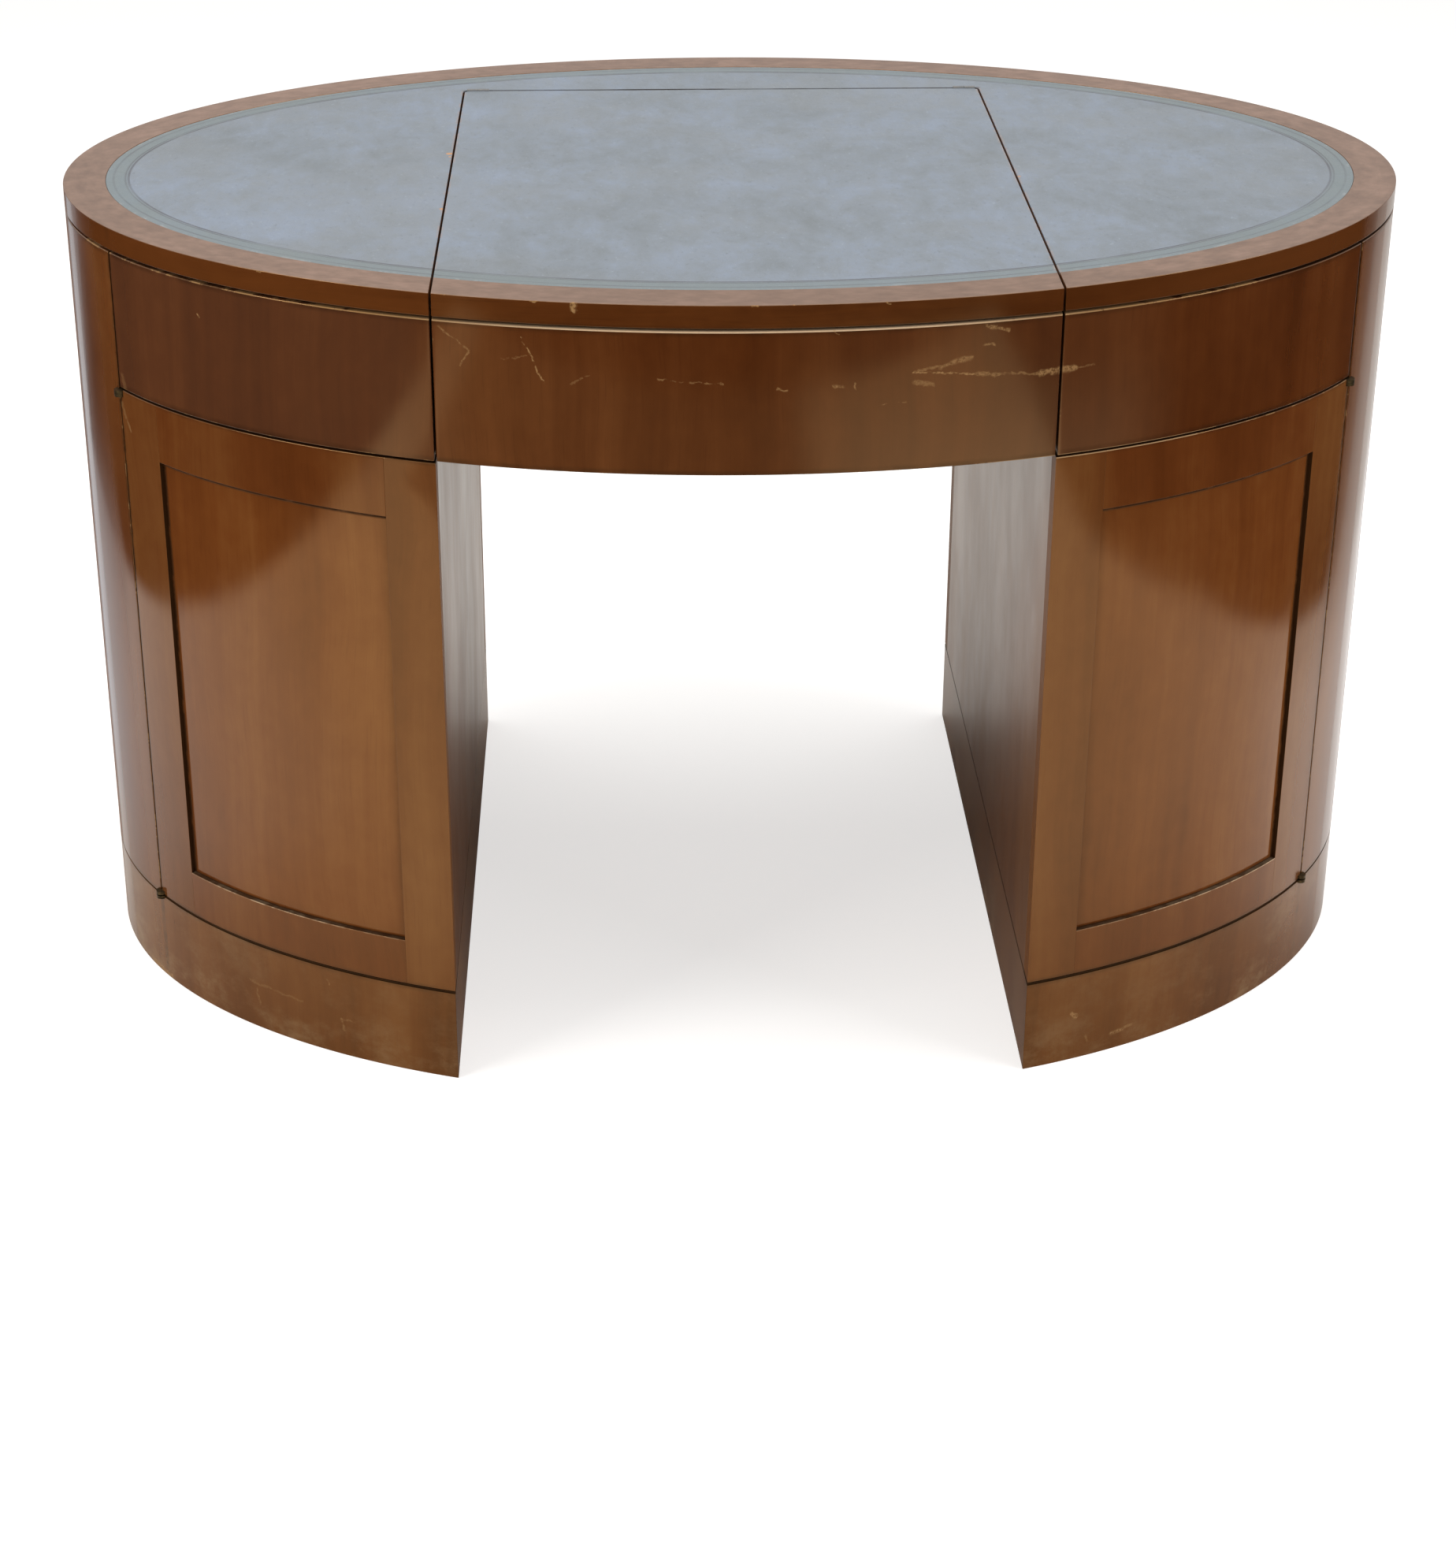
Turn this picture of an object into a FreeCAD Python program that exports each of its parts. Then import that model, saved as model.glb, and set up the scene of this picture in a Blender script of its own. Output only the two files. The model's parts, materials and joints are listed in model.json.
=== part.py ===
import FreeCAD, Part
import Sketcher
import os
import re

# Oval pedestal desk: two D-shaped pedestals under an oval top, a lifting centre
# leaf, a drawer in each third of the frieze and a curved door on each pedestal.
# Millimetres. +Z is up, -Y is the side the sitter faces, and the origin lies on
# the floor under the middle of the oval.

SIZES = [
    ("HalfLength", 610, "half of the oval's long axis"),
    ("HalfDepth", 382, "half of the oval's short axis"),
    ("DeskHeight", 760, "floor to the top of the rim"),
    ("TopThickness", 20, "slab, leather included"),
    ("RimWidth", 38, "wood band round the leather"),
    ("LeatherThickness", 1.5, "skiver let into the slab"),
    ("LeatherDrop", 0.4, "leather below the rim"),
    ("GlueGap", 0.2, "between curved glued faces"),
    ("FriezeHeight", 128, "drawers and back apron, groove included"),
    ("GrooveHeight", 2.5, "shadow groove under the slab"),
    ("GrooveDepth", 4, "shadow groove, from the outside"),
    ("PlinthHeight", 92, "floor to the bottom of the doors"),
    ("QuirkHeight", 1.5, "line round the top of the plinth"),
    ("QuirkDepth", 1.5, "same line, from the outside"),
    ("WallThickness", 20, "curved walls, doors and drawer fronts"),
    ("SeatGap", 0.5, "curved wall to the boards behind it"),
    ("PanelThickness", 18, "knee panels"),
    ("BoardThickness", 18, "floor boards and dust boards"),
    ("KneeholeHalf", 258.5, "middle of the desk to a knee panel"),
    ("SeamGap", 2, "round the lid, drawers and doors"),
    ("RearTop", 122, "top behind the lid, on the middle line"),
    ("LidCorner", 4, "radius of the lid's back corners"),
    ("RestGap", 0.3, "moving piece to what carries it"),
    ("EndWall", 63, "end of the oval to the outer door seam"),
    ("RailHeight", 18, "rails and ledges under the top"),
    ("RailWidth", 40, "top rail, front to back"),
    ("RailLap", 25, "top rail past the door seam"),
    ("RearRailWidth", 32, "rail behind the lid, front to back"),
    ("RunnerWidth", 18, "centre runners and lid ledges"),
    ("RunnerHeight", 12, "centre drawer runners"),
    ("BoxThickness", 12, "drawer sides and backs"),
    ("BoxPlay", 1, "drawer side to what guides it"),
    ("BoxDrop", 2, "drawer side below the rail above it"),
    ("BottomThickness", 6, "drawer bottoms"),
    ("BottomRise", 10, "drawer bottom above the side's lower edge"),
    ("TongueDepth", 5, "drawer bottom into the sides"),
    ("TonguePlay", 0.2, "round a bottom or panel in its groove"),
    ("BoxToLidSeam", 25, "back of the centre drawer to the lid's back seam"),
    ("BoxToSeam", 42, "side drawer's box to the outer door seam"),
    ("BoxToWall", 8.5, "side drawer's rear corner to the curved wall"),
    ("GuideWidth", 12, "guide strip beside a side drawer"),
    ("GuideHeight", 20, "guide strip"),
    ("GuideToWall", 20, "guide strip's ends to the curved wall"),
    ("ShelfHeight", 350, "floor to the underside of the shelf"),
    ("ShelfThickness", 15, "cupboard shelf"),
    ("ShelfPlay", 2, "round the shelf"),
    ("ShelfSetback", 35, "shelf behind the door"),
    ("CleatHeight", 18, "cleats and blocks under the shelf"),
    ("CleatWidth", 14, "straight cleat, across"),
    ("CleatToRear", 262, "rear end of the straight cleat to the back of the oval"),
    ("BlockWidth", 20, "block under the shelf's outer end, across"),
    ("BlockHalf", 60, "half the length of that block"),
    ("LockStile", 44.5, "door stile beside the kneehole, across the front"),
    ("HingeStile", 37, "door stile beside the outer seam, across the front"),
    ("LowerRail", 45.5, "door's lower rail"),
    ("UpperRail", 54, "door's upper rail"),
    ("PanelInset", 4, "face of the panel below the frame"),
    ("FieldThickness", 8, "door panel"),
    ("FieldTongue", 8, "door panel into the frame"),
    ("DoorGap", 1.5, "door above the plinth"),
    ("EyeRadius", 5, "door hinge's eye"),
    ("EyePlay", 0.5, "round the eye in the wood"),
    ("LeafThickness", 3, "door hinge's leaf"),
    ("LeafLength", 38, "door hinge's leaf from the pin"),
    ("LeafNear", 5, "leaf below the curved face"),
    ("LeafFar", 14, "leaf's inner edge below the curved face"),
    ("PinRadius", 2, "door hinge's pin"),
    ("PinPlay", 0.05, "pin in its eye"),
    ("LidKnuckle", 2, "lid hinge's barrel radius"),
    ("LidAxisDrop", 0.5, "lid hinge's axis below the rim"),
    ("LidLeafThickness", 1.2, "lid hinge's leaf"),
    ("LidLeafHeight", 14, "lid hinge's leaf below the barrel"),
    ("LidLeafLength", 22, "lid hinge along the seam"),
    ("LidLeafInset", 2, "lid hinge from the lid's side"),
]

doc = FreeCAD.newDocument("OvalDesk")
sheet = doc.addObject("Spreadsheet::Sheet", "Sizes")
for row, (alias, number, meaning) in enumerate(SIZES, start=1):
    sheet.set(f"A{row}", alias)
    sheet.set(f"B{row}", str(number))
    sheet.setAlias(f"B{row}", alias)
    sheet.set(f"C{row}", meaning)
doc.recompute()

# Heights and faces that several pieces share, as formulas in the named sizes.
TOP_LOW = "(DeskHeight - TopThickness)"
CORE_HIGH = "(DeskHeight - LeatherDrop - LeatherThickness)"
LEATHER_HIGH = "(DeskHeight - LeatherDrop)"
FRIEZE_LOW = f"({TOP_LOW} - FriezeHeight)"
FRONT_HIGH = f"({TOP_LOW} - GrooveHeight)"
BOX_HIGH = f"({TOP_LOW} - RestGap - RailHeight - BoxDrop)"
DOOR_LOW = "(PlinthHeight + DoorGap)"
DOOR_HIGH = f"({FRIEZE_LOW} - SeamGap)"
INNER = "(WallThickness + SeatGap)"
PANEL_FACE = "(KneeholeHalf + PanelThickness)"
HALF_GAP = "(SeamGap / 2)"
LID_SIDE = f"(KneeholeHalf - {HALF_GAP})"
LID_AXIS = "(DeskHeight - LidAxisDrop)"
LID_BACK = "(HalfDepth - RearTop)"
OUTER_SEAM = "(HalfLength - EndWall)"
SHELF_INSET = f"({INNER} + ShelfPlay)"
SIDE_BOX_OUTER = f"({OUTER_SEAM} - BoxToSeam)"
CLEAT_REAR = "(HalfDepth - CleatToRear)"
PANEL_INNER = "(KneeholeHalf + LockStile)"
PANEL_OUTER = f"({OUTER_SEAM} - HingeStile)"
PANEL_LOW = f"({DOOR_LOW} + LowerRail)"
PANEL_HIGH = f"({DOOR_HIGH} - UpperRail)"

parts = []


def formula(text):
    """Turn the plain names in a formula into references to the sheet."""
    return re.sub(r"\b[A-Z]\w*", lambda name: "Sizes." + name.group(), text)


def value(text):
    """The number that a formula gives now."""
    return float(sheet.evalExpression(formula(text)))


def bind(item, name, text):
    item.setExpression(name, formula(text))


def place(item, x="0", y="0", z="0"):
    for axis, text in zip("xyz", (x, y, z)):
        bind(item, f"Placement.Base.{axis}", text)


def span(pair):
    return f"({pair[1]}) - ({pair[0]})"


def box(name, x, y, z):
    """Straight block between pairs of formulas."""
    item = doc.addObject("Part::Box", name)
    bind(item, "Length", span(x))
    bind(item, "Width", span(y))
    bind(item, "Height", span(z))
    place(item, x[0], y[0], z[0])
    return item


def drum(name, inset, z, back="0"):
    """Solid with the oval's outline, drawn in all round by the inset and set back."""
    outline = doc.addObject("Part::Ellipse", name + "_outline")
    bind(outline, "MajorRadius", f"HalfLength - ({inset})")
    bind(outline, "MinorRadius", f"HalfDepth - ({inset})")
    place(outline, y=back, z=z[0])
    solid = doc.addObject("Part::Extrusion", name)
    solid.Base = outline
    solid.DirMode = "Custom"
    solid.Dir = FreeCAD.Vector(0, 0, 1)
    solid.Solid = True
    bind(solid, "LengthFwd", span(z))
    return solid


def common(name, *shapes):
    item = doc.addObject("Part::MultiCommon", name)
    item.Shapes = list(shapes)
    return item


def fuse(name, *shapes):
    item = doc.addObject("Part::MultiFuse", name)
    item.Shapes = list(shapes)
    return item


def cut(name, base, *tools):
    """Base less every tool, one cut after another."""
    for index, tool in enumerate(tools, start=1):
        item = doc.addObject("Part::Cut", f"{name}_cut{index}")
        item.Base = base
        item.Tool = tool
        base = item
    return base


def band(name, outer, inner, z):
    """Oval wall between two insets."""
    return cut(name, drum(name + "_outside", outer, z), drum(name + "_inside", inner, z))


def right_of(name, x, z):
    """Everything from a plane of constant X outwards, between two heights."""
    return box(name, (x, "HalfLength + WallThickness"), ("-HalfDepth", "HalfDepth"), z)


def outline_y(x):
    """Y of the front of the oval at a given X."""
    return f"(-HalfDepth * sqrt(1 - (({x}) / HalfLength)^2))"


def wall_y(x):
    """Y of the inside of the rear wall at a given X."""
    return f"((HalfDepth - {INNER}) * sqrt(1 - (({x}) / (HalfLength - {INNER}))^2))"


def outline_turn(x):
    """Direction of the oval's outward normal at a given X of its front."""
    return f"atan2({outline_y(x)} / HalfDepth^2; ({x}) / HalfLength^2)"


def place_on_outline(item, x, across, along, z):
    """Set an item on the outline's own axes: across is outward, along runs to the back."""
    turn = outline_turn(x)
    item.Placement = FreeCAD.Placement(FreeCAD.Vector(), FreeCAD.Rotation(FreeCAD.Vector(0, 0, 1), 1))
    bind(item, "Placement.Rotation.Angle", turn)
    place(
        item,
        f"({x}) + ({across}) * cos({turn}) - ({along}) * sin({turn})",
        f"{outline_y(x)} + ({across}) * sin({turn}) + ({along}) * cos({turn})",
        z,
    )


def outline_box(name, x, across, along, z):
    """Block squared to the oval's normal at X."""
    item = doc.addObject("Part::Box", name)
    bind(item, "Length", span(across))
    bind(item, "Width", span(along))
    bind(item, "Height", span(z))
    place_on_outline(item, x, across[0], along[0], z[0])
    return item


def outline_cylinder(name, x, radius, z):
    """Upright cylinder whose axis stands on the outline at X."""
    item = doc.addObject("Part::Cylinder", name)
    bind(item, "Radius", radius)
    bind(item, "Height", span(z))
    place_on_outline(item, x, "0", "0", z[0])
    return item


def before(name, x, gap, z):
    """The stretch of front wall on the kneehole side of the normal at X."""
    return outline_box(name, x, ("-HalfDepth / 2", "WallThickness * 3"), ("-HalfLength", f"-({gap})"), z)


def beyond(name, x, gap, z):
    """The stretch of front wall on the hinge side of the normal at X."""
    return outline_box(name, x, ("-HalfDepth / 2", "WallThickness * 3"), (gap, "HalfLength"), z)


def board(name, x, y, z):
    """Sawn board: a sketched rectangle padded to its height."""
    body = doc.addObject("PartDesign::Body", name)
    outline = rectangle(body, name + "_sketch", "XY_Plane", ("0", "0"), (span(x), span(y)))
    pad = body.newObject("PartDesign::Pad", name + "_pad")
    pad.Profile = outline
    bind(pad, "Length", span(z))
    place(body, x[0], y[0], z[0])
    return body


def origin_plane(body, role):
    return next(item for item in body.Origin.OriginFeatures if item.Role == role)


def rectangle(body, name, plane, low, size):
    """Fully constrained rectangle on one of the body's own planes."""
    sketch = body.newObject("Sketcher::SketchObject", name)
    sketch.AttachmentSupport = [(origin_plane(body, plane), "")]
    sketch.MapMode = "FlatFace"
    x, y = (value(text) for text in low)
    w, d = (value(text) for text in size)
    corners = [(x, y), (x + w, y), (x + w, y + d), (x, y + d)]
    points = [FreeCAD.Vector(*corner, 0) for corner in corners]
    for index in range(4):
        sketch.addGeometry(Part.LineSegment(points[index], points[(index + 1) % 4]), False)
    for index in range(4):
        sketch.addConstraint(Sketcher.Constraint("Coincident", index, 2, (index + 1) % 4, 1))
        sketch.addConstraint(Sketcher.Constraint(("Horizontal", "Vertical")[index % 2], index))
    width = sketch.addConstraint(Sketcher.Constraint("DistanceX", 0, 1, 0, 2, w))
    depth = sketch.addConstraint(Sketcher.Constraint("DistanceY", 1, 1, 1, 2, d))
    bind(sketch, f"Constraints[{width}]", size[0])
    bind(sketch, f"Constraints[{depth}]", size[1])
    for axis, start, text in (("X", x, low[0]), ("Y", y, low[1])):
        held = sketch.addConstraint(Sketcher.Constraint("Distance" + axis, -1, 1, 0, 1, start))
        bind(sketch, f"Constraints[{held}]", text)
    return sketch


def grooved_board(name, x, y, z, groove_x):
    """Board with a groove run along one face for a drawer bottom."""
    body = board(name, x, y, z)
    groove = rectangle(
        body,
        name + "_groove",
        "XZ_Plane",
        (groove_x, "BottomRise - TonguePlay"),
        ("TongueDepth", "BottomThickness + 2 * TonguePlay"),
    )
    pocket = body.newObject("PartDesign::Pocket", name + "_pocket")
    pocket.Profile = groove
    pocket.SideType = "Symmetric"
    pocket.Type = "ThroughAll"
    return body


def rounded_block(name, x, y, z, radius):
    """Block whose two rear upright edges are rounded."""
    body = board(name, x, y, z)
    doc.recompute()
    pad = body.Tip
    back = value(span(y))
    upright = [
        f"Edge{index}"
        for index, edge in enumerate(pad.Shape.Edges, start=1)
        if abs(edge.tangentAt(edge.FirstParameter).z) > 0.99 and abs(edge.CenterOfMass.y - back) < 0.01
    ]
    fillet = body.newObject("PartDesign::Fillet", name + "_fillet")
    fillet.Base = (pad, upright)
    bind(fillet, "Radius", radius)
    return body


def keep(label, item):
    """Count an item as one of the desk's pieces."""
    item.Label = label
    parts.append(item)
    return item


def mirrored(name, item):
    twin = doc.addObject("Part::Mirroring", name)
    twin.Source = item
    twin.Normal = FreeCAD.Vector(1, 0, 0)
    return twin


def keep_pair(label, item):
    """Keep a right-hand piece and its mirror image on the left."""
    keep("right_" + label, item)
    keep("left_" + label, mirrored("left_" + label, item))


def keep_both(label, item):
    """Keep a right-hand piece and its mirror image as one group of like pieces."""
    group = doc.addObject("Part::Compound", label + "_group")
    group.Links = [item, mirrored(label + "_left", item)]
    keep(label, group)


def shadow_groove(name):
    return band(name, "-WallThickness", "GrooveDepth", (FRONT_HIGH, TOP_LOW))


# Hinges of the doors. Each has a leaf let into the door's end and a leaf let into
# the carcass, with round eyes one above the other at the seam in the curved face.
LOWER_MOVING = (DOOR_LOW, f"{DOOR_LOW} + LeafThickness")
LOWER_FIXED = ("PlinthHeight - LeafThickness", "PlinthHeight")
UPPER_MOVING = (f"{DOOR_HIGH} - LeafThickness", DOOR_HIGH)
UPPER_FIXED = (f"{DOOR_HIGH} - 2 * LeafThickness - RestGap", f"{DOOR_HIGH} - LeafThickness - RestGap")


def leaf(name, z, way, grow="0"):
    """Cranked hinge leaf with its eye: way -1 runs into the door's side of the seam, 1 into the wall's."""
    near = (f"{way} * LeafLength - ({grow})", "0") if way < 0 else ("0", f"LeafLength + ({grow})")
    crank = (f"{way} * LeafNear - ({grow})", "0") if way < 0 else ("0", f"LeafNear + ({grow})")
    tall = (f"({z[0]}) - ({grow})", f"({z[1]}) + ({grow})")
    plate = outline_box(
        name + "_plate", OUTER_SEAM, (f"-LeafFar - ({grow})", f"-LeafNear + ({grow})"), near, tall
    )
    neck = outline_box(name + "_neck", OUTER_SEAM, (f"-LeafFar - ({grow})", "0"), crank, tall)
    return fuse(name + "_flat", plate, neck)


def eye(name, z, grow="0"):
    return outline_cylinder(name, OUTER_SEAM, f"EyeRadius + ({grow})", z)


def eye_clearance(name, z):
    """Room in the wood for an eye and for the turn of its neighbour."""
    return eye(name, z, "EyePlay")


def make_door_hinges():
    moving = []
    fixed = []
    for name, swing, held, way in (
        ("lower", LOWER_MOVING, LOWER_FIXED, -1),
        ("upper", UPPER_MOVING, UPPER_FIXED, 1),
    ):
        pin = outline_cylinder(f"{name}_pin", OUTER_SEAM, "PinRadius", (held[0], swing[1]))
        bore = outline_cylinder(f"{name}_bore", OUTER_SEAM, "PinRadius + PinPlay", swing)
        solid = fuse(f"{name}_swing", leaf(f"{name}_swing_leaf", swing, -1), eye(f"{name}_swing_eye", swing))
        moving.append(cut(f"{name}_swing_bored", solid, bore))
        fixed.append(
            fuse(f"{name}_held", leaf(f"{name}_held_leaf", held, way), eye(f"{name}_held_eye", held), pin)
        )
    for label, group in (("door_hinge_leaves", moving), ("carcass_hinge_leaves", fixed)):
        pair = doc.addObject("Part::Compound", label)
        pair.Links = group
        keep_pair(label, pair)


def make_plinths():
    """Open D-shaped frames with a quirk round the top, let in for the lower hinges."""
    tall = ("0", "PlinthHeight")
    outside = drum("plinth_outside", "0", tall)
    solid = common("plinth_solid", outside, right_of("plinth_side", "KneeholeHalf", tall))
    inside = drum("plinth_inside", "WallThickness", tall)
    hollow = common("plinth_hollow", inside, right_of("plinth_room", PANEL_FACE, tall))
    quirk_z = ("PlinthHeight - QuirkHeight", "PlinthHeight")
    quirk = band("plinth_quirk", "-WallThickness", "QuirkDepth", quirk_z)
    leaf_room = leaf("plinth_leaf_room", LOWER_FIXED, -1, "TonguePlay")
    eye_room = eye_clearance("plinth_eye_room", (f"{LOWER_FIXED[0]} - TonguePlay", LOWER_FIXED[1]))
    keep_pair("plinth", cut("plinth", solid, hollow, quirk, leaf_room, eye_room))


def make_pedestal_boards():
    """Floor boards on the plinths, and dust boards under the side drawers."""
    for label, low in (("floor_board", "PlinthHeight"), ("dust_board", f"({FRIEZE_LOW} - BoardThickness)")):
        tall = (low, f"{low} + BoardThickness")
        oval = drum(label + "_oval", INNER, tall)
        keep_pair(label, common(label, oval, right_of(label + "_side", PANEL_FACE, tall)))


def make_knee_panels():
    """Flat walls of the kneehole."""
    tall = ("PlinthHeight", TOP_LOW)
    plank = board("knee_plank", ("KneeholeHalf", PANEL_FACE), ("-HalfDepth", "HalfDepth"), tall)
    keep_pair("knee_panel", common("knee_panel", plank, drum("knee_oval", INNER, tall)))


def make_outer_shells():
    """Curved walls from the outer seams round to the kneehole at the back.

    The outer half of each wall is drawn in courses that end where the hinge eyes'
    notches do, so that its curved faces stay four-sided.
    """
    lower_eye = ("PlinthHeight", f"{LOWER_MOVING[1]} + RestGap")
    upper_eye = (f"{UPPER_FIXED[0]} - RestGap", f"{DOOR_HIGH} + RestGap")
    levels = (*lower_eye, *upper_eye, TOP_LOW)
    half = "(WallThickness / 2)"
    layers = [("shell_lining", half, "WallThickness", ("PlinthHeight", TOP_LOW))]
    for index, tall in enumerate(zip(levels, levels[1:]), start=1):
        layers.append((f"shell_course{index}", "0", half, tall))
    walls = []
    for name, outer, inner, tall in layers:
        side = right_of(f"{name}_side", "KneeholeHalf", tall)
        walls.append(common(f"{name}_wall", band(name, outer, inner, tall), side))
    wall = fuse("shell_wall", *walls)
    room = [
        before("shell_front", OUTER_SEAM, f"-{HALF_GAP}", ("PlinthHeight", TOP_LOW)),
        shadow_groove("shell_groove"),
        leaf("shell_leaf_room", UPPER_FIXED, 1, "TonguePlay"),
        eye_clearance("shell_eye_room", upper_eye),
        eye_clearance("shell_lower_eye_room", lower_eye),
    ]
    keep_pair("outer_shell", cut("outer_shell", wall, *room))


def make_shelves():
    tall = ("ShelfHeight", "ShelfHeight + ShelfThickness")
    shelf = common(
        "shelf",
        drum("shelf_oval", SHELF_INSET, tall),
        right_of("shelf_side", f"{PANEL_FACE} + ShelfPlay", tall),
        drum("shelf_front", SHELF_INSET, tall, "ShelfSetback"),
    )
    keep_pair("shelf", shelf)


def make_shelf_cleats():
    """A long cleat on each knee panel and a block, cut to the curve, on each outer shell."""
    tall = ("ShelfHeight - CleatHeight", "ShelfHeight")
    along = (PANEL_FACE, f"{PANEL_FACE} + CleatWidth")
    bar = board("cleat_bar", along, ("-HalfDepth", CLEAT_REAR), tall)
    cleat = common("cleat", bar, drum("cleat_front", SHELF_INSET, tall, "ShelfSetback"))
    outer = (f"HalfLength - {INNER} - BlockWidth", "HalfLength")
    blank = board("block_blank", outer, ("-BlockHalf", "BlockHalf"), tall)
    block = common("block", blank, drum("block_curve", "WallThickness + GlueGap", tall))
    cleats = doc.addObject("Part::Compound", "shelf_cleats")
    cleats.Links = [cleat, block]
    keep_pair("shelf_cleats", cleats)


def make_top_rails():
    """Curved rails that tie each pedestal's front to the top and stop the side drawers tipping."""
    tall = (f"{TOP_LOW} - RailHeight", TOP_LOW)
    rail = common(
        "top_rail",
        band("top_rail", INNER, f"{INNER} + RailWidth", tall),
        right_of("top_rail_side", PANEL_FACE, tall),
        before("top_rail_end", OUTER_SEAM, "-RailLap", tall),
    )
    keep_pair("top_rail", rail)


def make_drawer_guides():
    """Strips on the dust boards that guide the side drawers' outer sides."""
    inner = f"{SIDE_BOX_OUTER} + BoxPlay"
    outer = f"{inner} + GuideWidth"
    end = f"({wall_y(outer)} - GuideToWall)"
    tall = (FRIEZE_LOW, f"{FRIEZE_LOW} + GuideHeight")
    keep_pair("drawer_guide", board("drawer_guide", (inner, outer), (f"-{end}", end), tall))


def make_frieze():
    """What joins the pedestals under the top: apron, rear rail, runners and lid ledges."""
    tall = (FRIEZE_LOW, TOP_LOW)
    between = ("-KneeholeHalf", "KneeholeHalf")
    rear = box("apron_zone", between, ("0", "HalfDepth"), tall)
    apron = common("apron_wall", band("apron", "0", "WallThickness", tall), rear)
    keep("back_apron", cut("back_apron", apron, shadow_groove("apron_groove")))

    bay_back = f"{LID_BACK} + {HALF_GAP}"
    rail_z = (f"{TOP_LOW} - RailHeight", TOP_LOW)
    keep("rear_rail", board("rear_rail", between, (bay_back, bay_back + " + RearRailWidth"), rail_z))

    edge = ("KneeholeHalf - RunnerWidth", "KneeholeHalf")
    reach = ("-HalfDepth", bay_back)
    for label, tall in (
        ("centre_runner", (FRIEZE_LOW, f"{FRIEZE_LOW} + RunnerHeight")),
        ("lid_ledge", (f"{TOP_LOW} - RestGap - RailHeight", f"{TOP_LOW} - RestGap")),
    ):
        bar = board(label + "_bar", edge, reach, tall)
        keep_pair(label, common(label, bar, drum(label + "_oval", INNER, tall)))


# The lid's hinges: two short brass butts in the back seam, one near each corner.
HINGE_OUTER = f"({LID_SIDE} - LidLeafInset)"
HINGE_INNER = f"({HINGE_OUTER} - LidLeafLength)"
HINGE_MIDDLE = f"({HINGE_OUTER} - LidLeafLength / 2)"
BARREL_ROOM = "(LidKnuckle + RestGap)"
LEAF_HIGH = f"({LID_AXIS} - {BARREL_ROOM})"


def barrel(name, x, radius):
    """Cylinder on the lid's hinge axis."""
    item = doc.addObject("Part::Cylinder", name)
    bind(item, "Radius", radius)
    bind(item, "Height", span(x))
    item.Placement = FreeCAD.Placement(FreeCAD.Vector(), FreeCAD.Rotation(FreeCAD.Vector(0, 1, 0), 90))
    place(item, x[0], LID_BACK, LID_AXIS)
    return item


def lid_leaf(name, way, knuckle_x, grow="0"):
    """Upright leaf on one face of the seam, with a strap up to its own knuckle."""
    face = f"{LID_BACK} + {way} * {HALF_GAP}"
    deep = f"{LID_BACK} + {way} * ({HALF_GAP} + LidLeafThickness + ({grow}))"
    y = (deep, face) if way < 0 else (face, deep)
    wide = (f"{HINGE_INNER} - ({grow})", f"{HINGE_OUTER} + ({grow})")
    plate = box(name + "_plate", wide, y, (f"{LEAF_HIGH} - LidLeafHeight - ({grow})", LEAF_HIGH))
    strap = box(name + "_strap", knuckle_x, y, (LEAF_HIGH, LID_AXIS))
    return fuse(name + "_flat", plate, strap)


def make_lid_hinges():
    """The lid's knuckle and the fixed one lie end to end on the axis."""
    inner = (HINGE_INNER, f"{HINGE_MIDDLE} - RestGap / 2")
    outer = (f"{HINGE_MIDDLE} + RestGap / 2", HINGE_OUTER)
    for label, name, way, wide in (
        ("lid_hinge_leaves", "lid_swing", -1, inner),
        ("top_hinge_leaves", "lid_held", 1, outer),
    ):
        knuckle = barrel(f"{name}_knuckle", wide, "LidKnuckle")
        keep_both(label, fuse(name, lid_leaf(name, way, wide), knuckle))


def lid_hinge_room(name, way):
    """Recesses for both hinges in one side of the back seam, with a square gain for the barrels."""
    whole = (f"{HINGE_INNER} - RestGap", f"{HINGE_OUTER} + RestGap")
    leaf_room = lid_leaf(name, way, whole, "TonguePlay")
    gain_y = (f"{LID_BACK} - {BARREL_ROOM}", f"{LID_BACK} + {BARREL_ROOM}")
    gain = box(name + "_gain", whole, gain_y, (LEAF_HIGH, "DeskHeight + LidKnuckle"))
    right = fuse(name, leaf_room, gain)
    pair = doc.addObject("Part::Compound", name + "_pair")
    pair.Links = [right, mirrored(name + "_left", right)]
    return pair


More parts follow.
